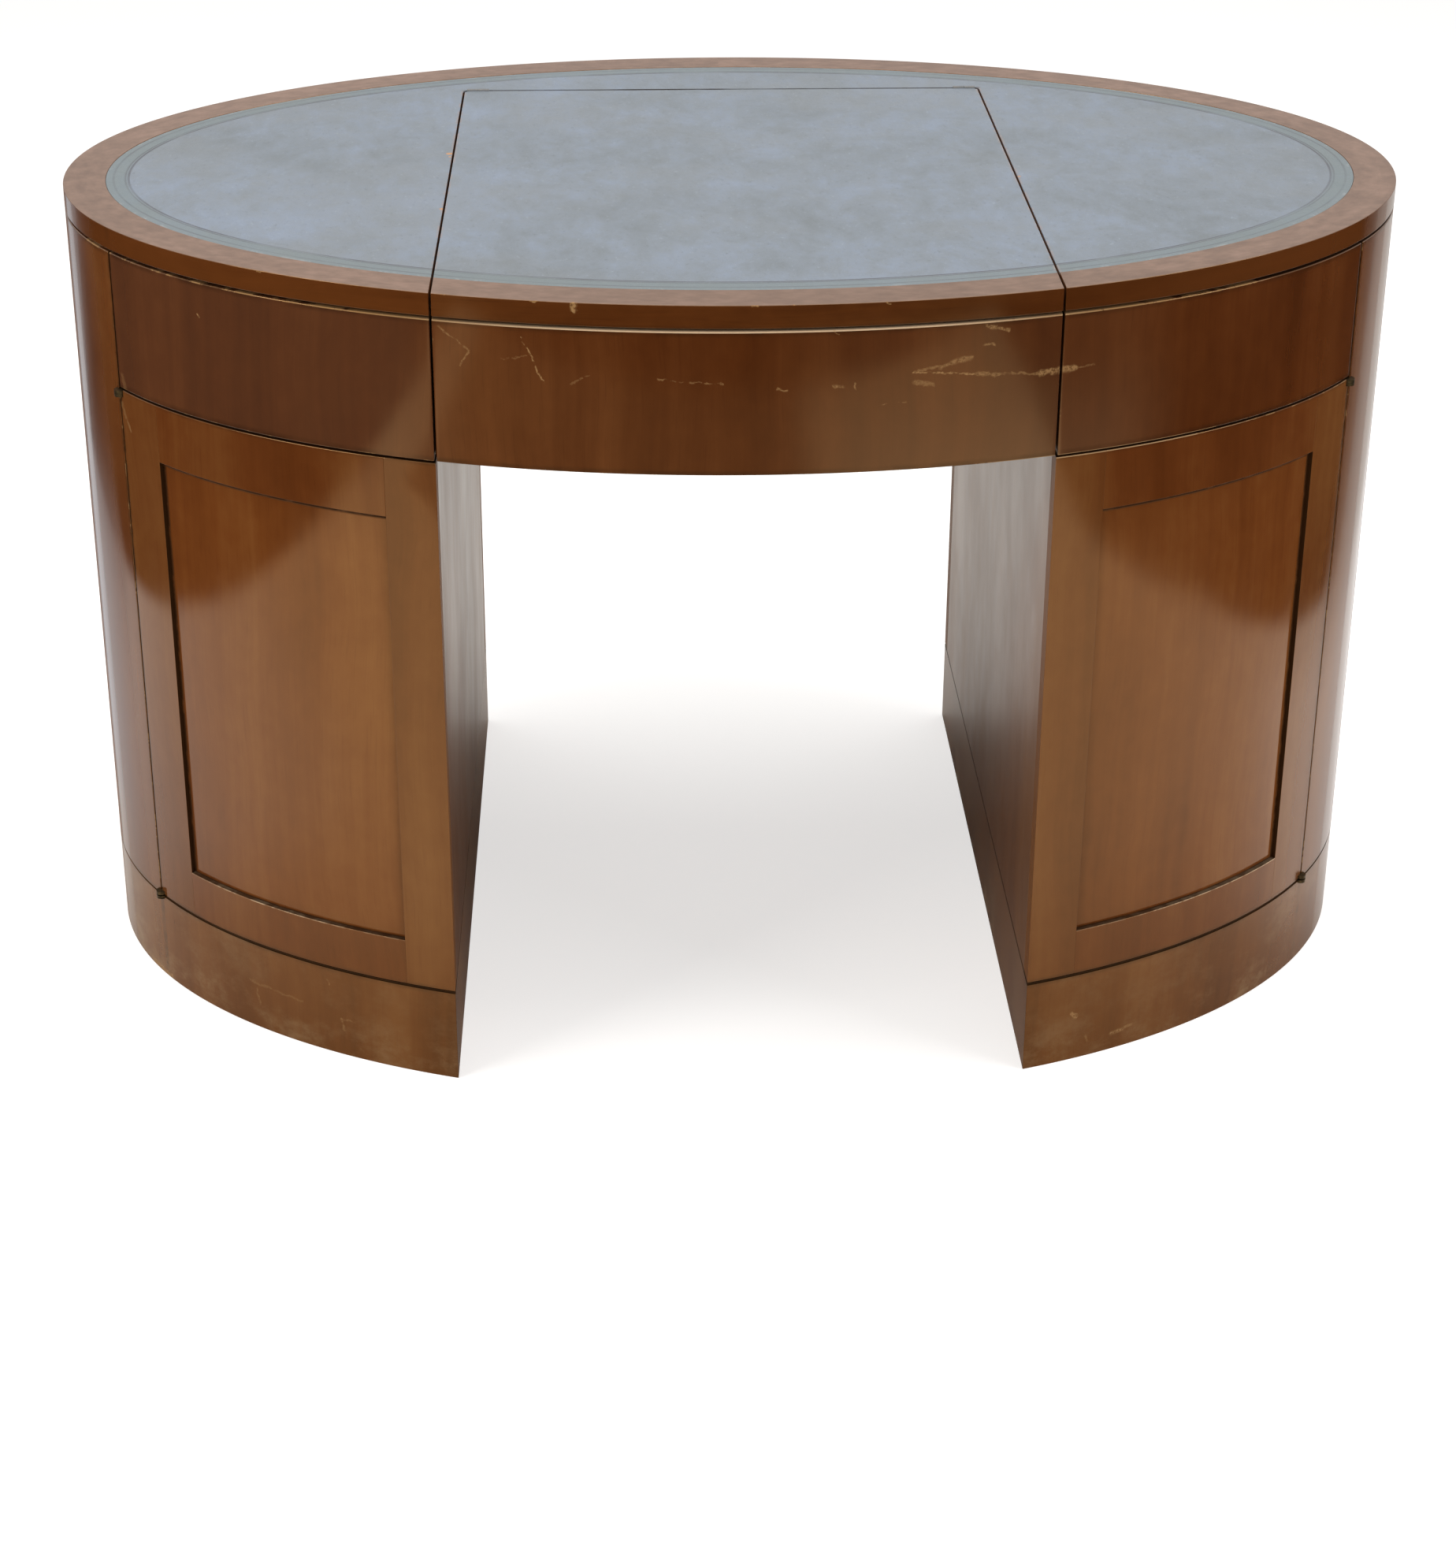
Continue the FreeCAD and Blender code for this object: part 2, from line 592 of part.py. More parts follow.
def make_top():
    """Slab with its leather, in two parts: the fixed top round the bay, and the lid in it."""
    rim_z = (TOP_LOW, "DeskHeight")
    core_z = (TOP_LOW, CORE_HIGH)
    leather_z = (CORE_HIGH, LEATHER_HIGH)
    rim = band("rim_ring", "0", "RimWidth", rim_z)
    core = drum("core_oval", "RimWidth + GlueGap", core_z)
    leather = drum("leather_oval", "RimWidth + GlueGap", leather_z)

    front = "-HalfDepth - RimWidth"
    side = f"(KneeholeHalf + {HALF_GAP})"
    bay_y = (front, f"{LID_BACK} + {HALF_GAP}")
    bay = rounded_block("bay", (f"-{side}", side), bay_y, rim_z, "LidCorner + SeamGap")
    keep("top_rim", cut("top_rim", rim, bay))
    room = lid_hinge_room("top_hinge_room", 1)
    keep("top_core", cut("top_core", core, bay, room))
    keep("top_leather", cut("top_leather", leather, bay, room))

    lid_y = (front, f"{LID_BACK} - {HALF_GAP}")
    lid_block = rounded_block("lid_block", (f"-{LID_SIDE}", LID_SIDE), lid_y, rim_z, "LidCorner")
    keep("lid_rim", common("lid_rim", rim, lid_block))
    room = lid_hinge_room("lid_hinge_room", -1)
    keep("lid_core", cut("lid_core", common("lid_core_blank", core, lid_block), room))
    keep("lid_leather", cut("lid_leather", common("lid_leather_blank", leather, lid_block), room))


BOX_LOW = f"({FRIEZE_LOW} + RestGap)"
BOTTOM_HIGH = "BottomRise + BottomThickness + TonguePlay"


def drawer_box(name, inner, outer, back, low, keep_each):
    """Two grooved sides, a back over the bottom, and a bottom let into the sides."""
    tall = (low, BOX_HIGH)
    reach = ("-HalfDepth", back)
    front = drum(name + "_behind_front", "WallThickness + GlueGap", tall)
    sides = []
    for side, x, groove in (
        ("inner_side", (inner, f"{inner} + BoxThickness"), "BoxThickness - TongueDepth"),
        ("outer_side", (f"{outer} - BoxThickness", outer), "0"),
    ):
        plank = grooved_board(f"{name}_{side}_plank", x, reach, tall, groove)
        sides.append(common(f"{name}_{side}", plank, front))
    keep_each(sides)

    between = (f"{inner} + BoxThickness", f"{outer} - BoxThickness")
    back_z = (f"{low} + {BOTTOM_HIGH}", BOX_HIGH)
    rear = board(f"{name}_back", between, (f"{back} - BoxThickness", back), back_z)
    tongue = "(TongueDepth - TonguePlay)"
    sheet_x = (f"{between[0]} - {tongue}", f"{between[1]} + {tongue}")
    sheet_z = (f"{low} + BottomRise", f"{low} + BottomRise + BottomThickness")
    panel = board(f"{name}_bottom_sheet", sheet_x, reach, sheet_z)
    return rear, common(f"{name}_bottom", panel, front)


def make_drawers():
    tall = (FRIEZE_LOW, FRONT_HIGH)
    wall = band("drawer_front", "0", "WallThickness", tall)
    middle = box("centre_front_zone", (f"-{LID_SIDE}", LID_SIDE), ("-HalfDepth", "0"), tall)
    keep("centre_drawer_front", common("centre_drawer_front", wall, middle))

    def keep_centre_sides(sides):
        keep("centre_drawer_left_side", sides[0])
        keep("centre_drawer_right_side", sides[1])

    on_runner = f"({FRIEZE_LOW} + RunnerHeight + RestGap)"
    half = "(KneeholeHalf - BoxPlay)"
    stop = f"({LID_BACK} - BoxToLidSeam)"
    rear, bottom = drawer_box("centre_drawer", f"(-{half})", half, stop, on_runner, keep_centre_sides)
    keep("centre_drawer_back", rear)
    keep("centre_drawer_bottom", bottom)

    front = common(
        "side_drawer_front",
        wall,
        right_of("side_front_inner", f"KneeholeHalf + {HALF_GAP}", tall),
        before("side_front_outer", OUTER_SEAM, HALF_GAP, tall),
    )
    keep_pair("drawer_front", front)

    def keep_side_sides(sides):
        keep_pair("drawer_inner_side", sides[0])
        keep_pair("drawer_outer_side", sides[1])

    inner = f"({PANEL_FACE} + BoxPlay)"
    stop = f"({wall_y(SIDE_BOX_OUTER)} - BoxToWall)"
    rear, bottom = drawer_box("side_drawer", inner, SIDE_BOX_OUTER, stop, BOX_LOW, keep_side_sides)
    keep_pair("drawer_back", rear)
    keep_pair("drawer_bottom", bottom)


DOOR_SPAN = (DOOR_LOW, DOOR_HIGH)


def door_part(name, wall, inner_lap, outer_lap):
    """The stretch of a curved wall between the stiles' inner edges, run on by the laps."""
    inner = beyond(f"{name}_inner", PANEL_INNER, f"-({inner_lap})", DOOR_SPAN)
    outer = before(f"{name}_outer", PANEL_OUTER, f"-({outer_lap})", DOOR_SPAN)
    return common(name, wall, inner, outer)


def make_doors():
    """Curved frame-and-panel doors, each with its panel loose in a groove."""
    wall = band("door_wall", "0", "WallThickness", DOOR_SPAN)
    deep = "PanelInset + FieldThickness"
    slot_lap = "(FieldTongue + TonguePlay)"
    slot_z = (f"{PANEL_LOW} - {slot_lap}", f"{PANEL_HIGH} + {slot_lap}")
    slot = door_part("field_slot", band("field_slot", "PanelInset", deep, slot_z), slot_lap, slot_lap)

    field_z = (f"{PANEL_LOW} - FieldTongue", f"{PANEL_HIGH} + FieldTongue")
    sheet_wall = band("door_panel", "PanelInset + GlueGap", f"{deep} - GlueGap", field_z)
    keep_pair("door_panel", door_part("door_panel", sheet_wall, "FieldTongue", "FieldTongue"))

    lock_side = right_of("lock_side", "KneeholeHalf", DOOR_SPAN)
    lock = common("lock_stile", wall, lock_side, before("lock_edge", PANEL_INNER, "0", DOOR_SPAN))
    hinge_side = before("hinge_side", OUTER_SEAM, HALF_GAP, DOOR_SPAN)
    hinge = common("hinge_stile", wall, beyond("hinge_edge", PANEL_OUTER, "0", DOOR_SPAN), hinge_side)
    rooms = [
        leaf("stile_lower_room", (DOOR_LOW + " - LeafThickness", LOWER_MOVING[1]), -1, "TonguePlay"),
        leaf("stile_upper_room", (UPPER_MOVING[0], DOOR_HIGH + " + LeafThickness"), -1, "TonguePlay"),
        eye_clearance("stile_lower_eye", (DOOR_LOW, LOWER_MOVING[1] + " + TonguePlay")),
        eye_clearance("stile_upper_eye", (UPPER_FIXED[0] + " - RestGap", DOOR_HIGH)),
    ]
    stiles = doc.addObject("Part::Compound", "door_stiles")
    stiles.Links = [cut("lock_stile", lock, slot), cut("hinge_stile", hinge, slot, *rooms)]
    keep_pair("door_stiles", stiles)

    rails = []
    for name, z in (("lower_rail", (DOOR_LOW, PANEL_LOW)), ("upper_rail", (PANEL_HIGH, DOOR_HIGH))):
        blank = door_part(name, band(name, "0", "WallThickness", z), "0", "0")
        rails.append(cut(name, blank, slot))
    group = doc.addObject("Part::Compound", "door_rails")
    group.Links = rails
    keep_pair("door_rails", group)


def check(items):
    """Stop on a failed feature, or on a piece that is not a sound set of solids."""
    for item in doc.Objects:
        if "Invalid" in item.State or "Error" in item.State:
            raise RuntimeError(f"{item.Label} failed: {item.State}")
    for item in items:
        shape = item.Shape
        if shape.isNull() or not shape.isValid() or not shape.Solids:
            raise RuntimeError(f"{item.Label} has no sound solid")
        print(f"{item.Label:28s} {len(shape.Solids)} solids {shape.Volume / 1000:10.1f} cm3")


make_plinths()
make_pedestal_boards()
make_knee_panels()
make_outer_shells()
make_shelves()
make_shelf_cleats()
make_top_rails()
make_drawer_guides()
make_frieze()
make_top()
make_lid_hinges()
make_drawers()
make_doors()
make_door_hinges()
doc.recompute()
check(parts)

os.makedirs("parts", exist_ok=True)
for part in parts:
    part.Shape.exportStep(f"parts/{part.Label}.step")
print(len(parts), "pieces")
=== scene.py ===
import functools
import json
import operator
import zlib
from math import acos, atan2, cos, exp, hypot, pi, radians, sin, sqrt

import bmesh
import bpy
from mathutils import Matrix, Vector


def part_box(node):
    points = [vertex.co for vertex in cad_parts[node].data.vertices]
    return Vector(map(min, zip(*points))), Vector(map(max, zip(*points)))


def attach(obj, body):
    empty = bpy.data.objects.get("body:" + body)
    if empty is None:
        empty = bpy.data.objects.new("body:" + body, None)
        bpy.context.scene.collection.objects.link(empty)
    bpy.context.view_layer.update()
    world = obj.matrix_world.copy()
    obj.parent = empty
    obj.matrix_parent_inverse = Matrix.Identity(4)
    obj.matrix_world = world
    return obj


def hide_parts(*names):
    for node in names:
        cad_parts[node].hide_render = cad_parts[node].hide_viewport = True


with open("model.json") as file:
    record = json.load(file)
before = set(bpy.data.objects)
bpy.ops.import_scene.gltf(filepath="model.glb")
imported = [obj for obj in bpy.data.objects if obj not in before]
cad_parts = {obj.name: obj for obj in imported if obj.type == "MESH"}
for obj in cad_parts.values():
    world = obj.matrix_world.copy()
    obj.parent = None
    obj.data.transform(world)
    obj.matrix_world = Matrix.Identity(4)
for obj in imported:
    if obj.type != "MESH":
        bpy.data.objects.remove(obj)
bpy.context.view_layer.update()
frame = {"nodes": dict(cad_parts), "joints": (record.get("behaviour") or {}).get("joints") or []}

# Dressed model of an oval pedestal desk. Metres, in the frame's own axes: +Z up, the
# sitter's side at -Y, the origin on the floor under the middle of the oval.

# --- sizes from the frame

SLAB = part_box("top_rim")
HALF_LENGTH = SLAB[1].x
HALF_DEPTH = SLAB[1].y
SLAB_LOW, RIM_HIGH = SLAB[0].z, SLAB[1].z
LEATHER_LOW, LEATHER_HIGH = (corner.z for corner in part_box("lid_leather"))
BAY_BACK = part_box("rear_rail")[0].y
LID_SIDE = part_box("lid_rim")[1].x
LID_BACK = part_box("lid_leather")[1].y
KNEE_INNER, KNEE_OUTER = (corner.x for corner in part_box("right_knee_panel"))
PLINTH_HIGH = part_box("right_plinth")[1].z
FRONT_LOW, FRONT_HIGH = (corner.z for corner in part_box("right_drawer_front"))
DOOR_LOW, DOOR_HIGH = (corner.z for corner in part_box("right_door_stiles"))
SEAM_X = next(joint["pos_m"][0] for joint in frame["joints"] if joint["name"] == "right_door_hinge")
HALF_GAP = KNEE_INNER - LID_SIDE
BAY_SIDE = KNEE_INNER + HALF_GAP
LEATHER_INSET = HALF_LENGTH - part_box("top_leather")[1].x
LEATHER_LENGTH, LEATHER_DEPTH = HALF_LENGTH - LEATHER_INSET, HALF_DEPTH - LEATHER_INSET  # half

# Sizes that no node's box gives.
WALL = 0.02  # curved walls, doors and drawer fronts
GLUE_LINE = 0.0002
RIM_WIDTH = LEATHER_INSET - GLUE_LINE
WALL_TO_BOARD = 0.0205  # from the outline to the boards inside
GROOVE_DEPTH = 0.004
QUIRK_HEIGHT = 0.0015
QUIRK_DEPTH = 0.0015
LOCK_STILE = 0.0445
HINGE_STILE = 0.037
LOWER_RAIL = 0.0455
UPPER_RAIL = 0.054
PANEL_INSET = 0.0042
PANEL_BACK = 0.0118
PANEL_TONGUE = 0.008
BAY_CORNER = 0.006
LID_CORNER = 0.004
EYE_ROOM = 0.0055  # notch round a hinge eye, from its axis
ARRIS = 0.0008  # rounding of the wood's edges
FINE_ARRIS = 0.0002  # of the doors' frame members
RIM_ARRIS = 0.0006
PLINTH_ARRIS = 0.0006
PANEL_ARRIS = 0.0004
LEATHER_ARRIS = 0.0003
FRONT_EASE = 0.0012  # quarter round on the upper edge of the drawer fronts and shells
DOOR_EASE = 0.0008

# Stations along each curved piece.
SHELL_STEPS = 260
FLAT_STEPS = 12  # side of a plinth towards the kneehole
DRAWER_STEPS = 120
WIDE_STEPS = 160  # centre front, apron and lid rim
STILE_STEPS = 30
RAIL_STEPS = 90
PANEL_STEPS = 110
RIM_STEPS = 460
BAY_STEPS = 150
CORNER_STEPS = 6
EASE_STEPS = 4
ARC_STEPS = 24  # in a measured length of the outline


# --- the oval

def oval(inset, turn):
    """Point of the outline drawn in by an inset, at a parameter angle."""
    return Vector(((HALF_LENGTH - inset) * cos(turn), (HALF_DEPTH - inset) * sin(turn)))


def front_at(x):
    """End of a front wall in a plane of constant X: parameter angle by inset."""
    return lambda inset: -acos(x / (HALF_LENGTH - inset))


def back_at(x):
    """End of a rear wall in a plane of constant X."""
    return lambda inset: acos(x / (HALF_LENGTH - inset))


def mirrored(end, turn):
    """The same end on the left: -pi goes by the front, pi by the back."""
    return lambda inset: turn - end(inset)


def normal_at(x, shift):
    """End of a front wall in the plane of the outline's normal at X, shifted along the wall."""
    turn = front_at(x)(0)
    foot = oval(0, turn)
    along = Vector((-HALF_LENGTH * sin(turn), HALF_DEPTH * cos(turn))).normalized()

    def end(inset):
        low, high = turn - 0.2, turn + 0.2
        for _ in range(40):
            middle = (low + high) / 2
            if (oval(inset, middle) - foot).dot(along) < shift:
                low = middle
            else:
                high = middle
        return (low + high) / 2

    return end


def arc_length(turn):
    """Length of the outline from the middle of the front to a parameter angle."""
    start = -pi / 2
    step = (turn - start) / ARC_STEPS
    total = 0.0
    for index in range(ARC_STEPS):
        at = start + step * (index + 0.5)
        total += hypot(HALF_LENGTH * sin(at), HALF_DEPTH * cos(at)) * step
    return total


# --- meshes

def new_object(name, data):
    item = bpy.data.objects.new(name, data)
    bpy.context.scene.collection.objects.link(item)
    return item


def mesh_object(name, verts, faces):
    mesh = bpy.data.meshes.new(name)
    mesh.from_pydata(verts, [], faces)
    item = new_object(name, mesh)
    work = bmesh.new()
    work.from_mesh(mesh)
    bmesh.ops.remove_doubles(work, verts=work.verts, dist=1e-6)
    bmesh.ops.recalc_face_normals(work, faces=work.faces)
    work.to_mesh(mesh)
    work.free()
    return item


def sweep(name, stations, closed=False):
    """Solid through stations, each a loop of as many points."""
    count = len(stations[0])
    verts = [point for station in stations for point in station]
    faces = []
    for row in range(len(stations) if closed else len(stations) - 1):
        here = row * count
        after = (row + 1) % len(stations) * count
        for index in range(count):
            beside = (index + 1) % count
            faces.append((here + index, here + beside, after + beside, after + index))
    if not closed:
        faces.append(tuple(range(count)))
        faces.append(tuple(range(len(verts) - count, len(verts))))
    return mesh_object(name, verts, faces)


def wall(name, section, start, end, steps):
    """Curved wall: a section of (inset, z) points taken along the oval between two ends."""
    stations = []
    for step in range(steps + 1):
        share = step / steps
        station = []
        for inset, z in section:
            turn = start(inset) * (1 - share) + end(inset) * share
            station.append((*oval(inset, turn), z))
        stations.append(station)
    return sweep(name, stations)


def plate(outer, inner, low, high):
    """Rectangular section between two insets and two heights."""
    return [(outer, low), (outer, high), (inner, high), (inner, low)]


def eased_plate(outer, inner, low, high, radius):
    """Rectangular section whose upper outer corner is a quarter round."""
    points = [(outer, low)]
    for step in range(EASE_STEPS + 1):
        turn = pi / 2 * step / EASE_STEPS
        points.append((outer + radius * (1 - cos(turn)), high - radius * (1 - sin(turn))))
    return points + [(inner, high), (inner, low)]


def shell_section(low):
    """Wall whose upper edge is eased below the groove under the slab."""
    return eased_plate(0, GROOVE_DEPTH, low, FRONT_HIGH, FRONT_EASE)[:-1] + [
        (GROOVE_DEPTH, SLAB_LOW), (WALL, SLAB_LOW), (WALL, low)]


def apply_modifiers(item):
    bpy.context.view_layer.update()
    graph = bpy.context.evaluated_depsgraph_get()
    done = bpy.data.meshes.new_from_object(item.evaluated_get(graph))
    old = item.data
    item.modifiers.clear()
    item.data = done
    done.name = item.name
    bpy.data.meshes.remove(old)


def round_arrises(item, width=ARRIS, segments=3):
    """Rounds every sharp edge, and marks the rounded faces with material index 1."""
    bevel = item.modifiers.new("arris", "BEVEL")
    bevel.width = width
    bevel.segments = segments
    bevel.limit_method = "ANGLE"
    bevel.angle_limit = radians(30)
    bevel.material = 1
    item.data.materials.append(None)
    item.data.materials.append(None)
    apply_modifiers(item)


def cut_away(item, tools):
    """Boolean cuts, the tools deleted after."""
    for tool in tools:
        step = item.modifiers.new("cut", "BOOLEAN")
        step.operation = "DIFFERENCE"
        step.solver = "EXACT"
        step.object = tool
    apply_modifiers(item)
    for tool in tools:
        bpy.data.objects.remove(tool)


def mirror_copy(item, name):
    """The left-hand twin of a right-hand piece."""
    mesh = item.data.copy()
    mesh.name = name
    mesh.transform(Matrix.Scale(-1, 4, (1, 0, 0)))
    mesh.flip_normals()
    return new_object(name, mesh)


# --- coordinates for the finishes

TINY = 0.0002
WORN_CENTRE = 0.3  # reach of the worn groove edge from the middle of the front
FADED_EDGE = 0.46  # where it ends on the right
PALE_LEDGE_REACH = 0.44  # where a lower rail's edge turns pale, along the outline


def shift_of(name):
    """A piece's own place in the wood's pattern."""
    seed = zlib.crc32(name.encode())
    return Vector((seed % 97 / 10, seed % 89 / 10, seed % 83 / 10))


def front_turn(point):
    """Parameter angle of a place, broken at the middle of the back."""
    turn = atan2(point.y / HALF_DEPTH, point.x / HALF_LENGTH)
    return turn - 2 * pi if turn > pi / 2 else turn


def wrapped(point, centre):
    """Place on a curved wall: along the outline from the middle of the front, depth, height.
    The centre is the face's own, which tells both sides of the break at the back apart."""
    turn = front_turn(point)
    turn += 2 * pi * round((front_turn(centre) - turn) / (2 * pi))
    reach = hypot(point.x / HALF_LENGTH, point.y / HALF_DEPTH)
    return Vector((arc_length(turn), (1 - reach) * HALF_DEPTH, point.z))


def outward(point):
    return Vector((point.x / HALF_LENGTH**2, point.y / HALF_DEPTH**2, 0)).normalized()


# Wear of a face: none at 0, chipped in places to 1, bare above it, and -1 for painted shade.

def wear_front(spot, arris):
    """Drawer fronts, shells and apron: a bare upper edge, painted shade in the groove behind it."""
    if spot.y > GROOVE_DEPTH - 2 * TINY and spot.z > FRONT_HIGH + TINY:
        return -1.0
    if spot.z > FRONT_HIGH - 1.5 * ARRIS:
        side = 0.52 if spot.x > FADED_EDGE or spot.x < -1.5 * FADED_EDGE else 0.86
        return side + 0.9 * exp(-((spot.x / WORN_CENTRE) ** 2))
    if arris and spot.z < FRONT_LOW + 1.5 * ARRIS:
        return 1.25 if 0.2 < spot.x < 0.42 else 0.8
    return 0.7 if arris else 0.0


def wear_rail(spot, arris):
    """Door rails: the top edge rubbed, most towards the kneehole."""
    if spot.z > DOOR_HIGH - 1.2 * DOOR_EASE and spot.y < 2 * DOOR_EASE:
        return 0.55 if spot.x < 0 else 1.3 if spot.x < 0.4 else 0.85
    return 0.0


def wear_door(spot, arris):
    return wear_rail(spot, arris) or (0.35 if arris and spot.y < WALL / 2 else 0.0)


def wear_plinth(spot, arris):
    # The quirk under the shell gets -1: painted shade.
    if spot.z > PLINTH_HIGH - QUIRK_HEIGHT - TINY:
        return -1.0
    if spot.z < 2 * ARRIS:
        return 1.0
    return 0.5 if arris else 0.0


def wear_rim(spot, arris):
    return 0.56 if arris and spot.y < RIM_WIDTH / 2 else 0.0


def wear_none(spot, arris):
    return 0.0


def set_places(item, kind, wear):
    """Stores each corner's place in the wood and outward side, each face's wear, and which faces look up
    to be painted lighter.
    """
    mesh = item.data
    shift = shift_of(item.name)
    rows = {"grain": [], "spot": [], "out": [], "worn": [], "faded": []}
    for face in mesh.polygons:
        centre = face.center
        for index in face.vertices:
            at = mesh.vertices[index].co
            if kind == "flat":
                spot, fibre, out = at.copy(), Vector((at.y, at.x, at.z)), Vector()
            else:
                spot, out = wrapped(at, centre), outward(at)
                fibre = Vector((spot.z, spot.y, spot.x)) if kind == "along" else spot
            rows["grain"].extend(fibre + shift)
            rows["spot"].extend(spot)
            rows["out"].extend(out)
        spot = centre.copy() if kind == "flat" else wrapped(centre, centre)
        rows["worn"].append(wear(spot, face.material_index == 1))
        rows["faded"].append(1.0 if centre.z > RIM_HIGH - TINY else 0.0)
    kinds = (("vector", "FLOAT_VECTOR", "CORNER"), ("value", "FLOAT", "FACE"))
    for name, row in rows.items():
        field, kind, domain = kinds[name in ("worn", "faded")]
        mesh.attributes.new(name, kind, domain)
        mesh.attributes[name].data.foreach_set(field, row)


def finish_piece(item, material, kind, wear, body, node):
    """Gives a piece its finish and ties it to the frame."""
    set_places(item, kind, wear)
    mesh = item.data
    mesh.materials.clear()
    mesh.materials.append(material)
    for face in mesh.polygons:
        face.material_index = 0
    mesh.shade_smooth()
    mesh.set_sharp_from_angle(angle=radians(35))
    flatter = item.modifiers.new("normals", "WEIGHTED_NORMAL")
    flatter.mode = "FACE_AREA"
    flatter.weight = 100
    flatter.keep_sharp = True
    apply_modifiers(item)
    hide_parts(node)
    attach(item, body)
    return item


# --- shader helpers

def operator_node(operation):
    return lambda *given: math_of(operation, *given)


class Value:
    """Output of a shader node. Arithmetic with it adds Math nodes to its tree."""

    def __init__(self, socket):
        self.socket = socket
        self.tree = socket.id_data

    __add__, __sub__, __mul__, __truediv__, __pow__, __abs__ = map(
        operator_node, ("ADD", "SUBTRACT", "MULTIPLY", "DIVIDE", "POWER", "ABSOLUTE"))

    def __rsub__(self, other):
        return math_of("SUBTRACT", other, self)


def shader(tree, kind, inputs=None, output=0, **settings):
    """Output of a new shader node, its inputs given as plain values or as outputs to link."""
    item = tree.nodes.new("ShaderNode" + kind)
    for key, setting in settings.items():
        setattr(item, key, setting)
    for key, given in (inputs or {}).items():
        if isinstance(given, Value):
            tree.links.new(given.socket, item.inputs[key])
        else:
            item.inputs[key].default_value = given
    return Value(item.outputs[output])


def math_of(operation, *given, clamp=False):
    tree = next(item.tree for item in given if isinstance(item, Value))
    return shader(tree, "Math", dict(enumerate(given)), operation=operation, use_clamp=clamp)


def most(*given):
    """The greatest of some values."""
    return functools.reduce(operator_node("MAXIMUM"), given)


def weighted(base, *layers):
    """A base with more values added, each by its weight."""
    for layer, weight in layers:
        base = math_of("MULTIPLY_ADD", layer, weight, base)
    return base


def vector_of(operation, first, second=None):
    """Result of a VectorMath node: a number for the measures, else a vector."""
    given = {0: first}
    if second is not None:
        given["Scale" if operation == "SCALE" else 1] = second
    output = "Value" if operation in ("DOT_PRODUCT", "LENGTH", "DISTANCE") else 0
    return shader(first.tree, "VectorMath", given, output, operation=operation)


def parts_of(vector):
    """X, Y and Z of a vector."""
    node = shader(vector.tree, "SeparateXYZ", {0: vector}).socket.node
    return [Value(part) for part in node.outputs]


def attribute(tree, name, output="Vector"):
    return shader(tree, "Attribute", output=output, attribute_name=name)


def noise(vector, scale, detail=4.0, roughness=0.55, distortion=0.0):
    given = {"Vector": vector_of("MULTIPLY", vector, scale), "Scale": 1.0}
    given.update(Detail=detail, Roughness=roughness, Distortion=distortion)
    return shader(vector.tree, "TexNoise", given)


def between(amount, low, high, to_low=0.0, to_high=1.0):
    """Smoothly maps a range of a value to another."""
    given = {"Value": amount, "From Min": low, "From Max": high, "To Min": to_low, "To Max": to_high}
    return shader(amount.tree, "MapRange", given, interpolation_type="SMOOTHSTEP")


def falling(amount, low, high):
    """1 up to the low value, 0 from the high one."""
    return between(amount, low, high, 1.0, 0.0)


def near_edge(amount, edge, solid, soft):
    """1 beside an edge, falling to 0 over a soft width."""
    return falling(abs(amount - edge), solid, solid + soft)


def mix_color(amount, first, second):
    return shader(amount.tree, "Mix", {0: amount, 6: first, 7: second}, 2, data_type="RGBA")


def ramp(amount, stops):
    """Colour ramp through (position, colour) stops."""
    color = shader(amount.tree, "ValToRGB", {"Fac": amount}, "Color")
    elements = color.socket.node.color_ramp.elements
    while len(elements) < len(stops):
        elements.new(0.5)
    for element, (position, shade) in zip(elements, stops):
        element.position = position
        element.color = (*shade, 1)
    return color


def bump(height, distance, strength, under=None):
    given = {"Height": height, "Distance": distance, "Strength": strength}
    if under is not None:
        given["Normal"] = under
    return shader(height.tree, "Bump", given, "Normal")


def new_material(name):
    item = bpy.data.materials.new(name)
    item.use_nodes = True
    item.node_tree.nodes.clear()
    return item, item.node_tree


def close(surface, kind="OutputMaterial"):
    """Links a finished surface to the output of its tree."""
    tree = surface.tree
    tree.links.new(surface.socket, tree.nodes.new("ShaderNode" + kind).inputs["Surface"])


# --- marks, wear and dirt

def mark_group():
    """Mask of a straight mark between two places on a surface."""
    tree = bpy.data.node_groups.new("mark", "ShaderNodeTree")
    kinds = {"Place": "Vector", "Start": "Vector", "End": "Vector", "Width": "Float"}
    for name, kind in kinds.items():
        tree.interface.new_socket(name=name, in_out="INPUT", socket_type="NodeSocket" + kind)
    tree.interface.new_socket(name="Mask", in_out="OUTPUT", socket_type="NodeSocketFloat")
    given = tree.nodes.new("NodeGroupInput").outputs
    place, start, end, width = [Value(given[name]) for name in kinds]
    reach = vector_of("SUBTRACT", place, start)
    span = vector_of("SUBTRACT", end, start)
    along, whole = [vector_of("DOT_PRODUCT", vector, span) for vector in (reach, span)]
    foot = vector_of("SCALE", span, math_of("DIVIDE", along, whole, clamp=True))
    mask = falling(vector_of("DISTANCE", reach, foot) / width, 0.35, 1.0)
    tree.links.new(mask.socket, tree.nodes.new("NodeGroupOutput").inputs["Mask"])
    return tree


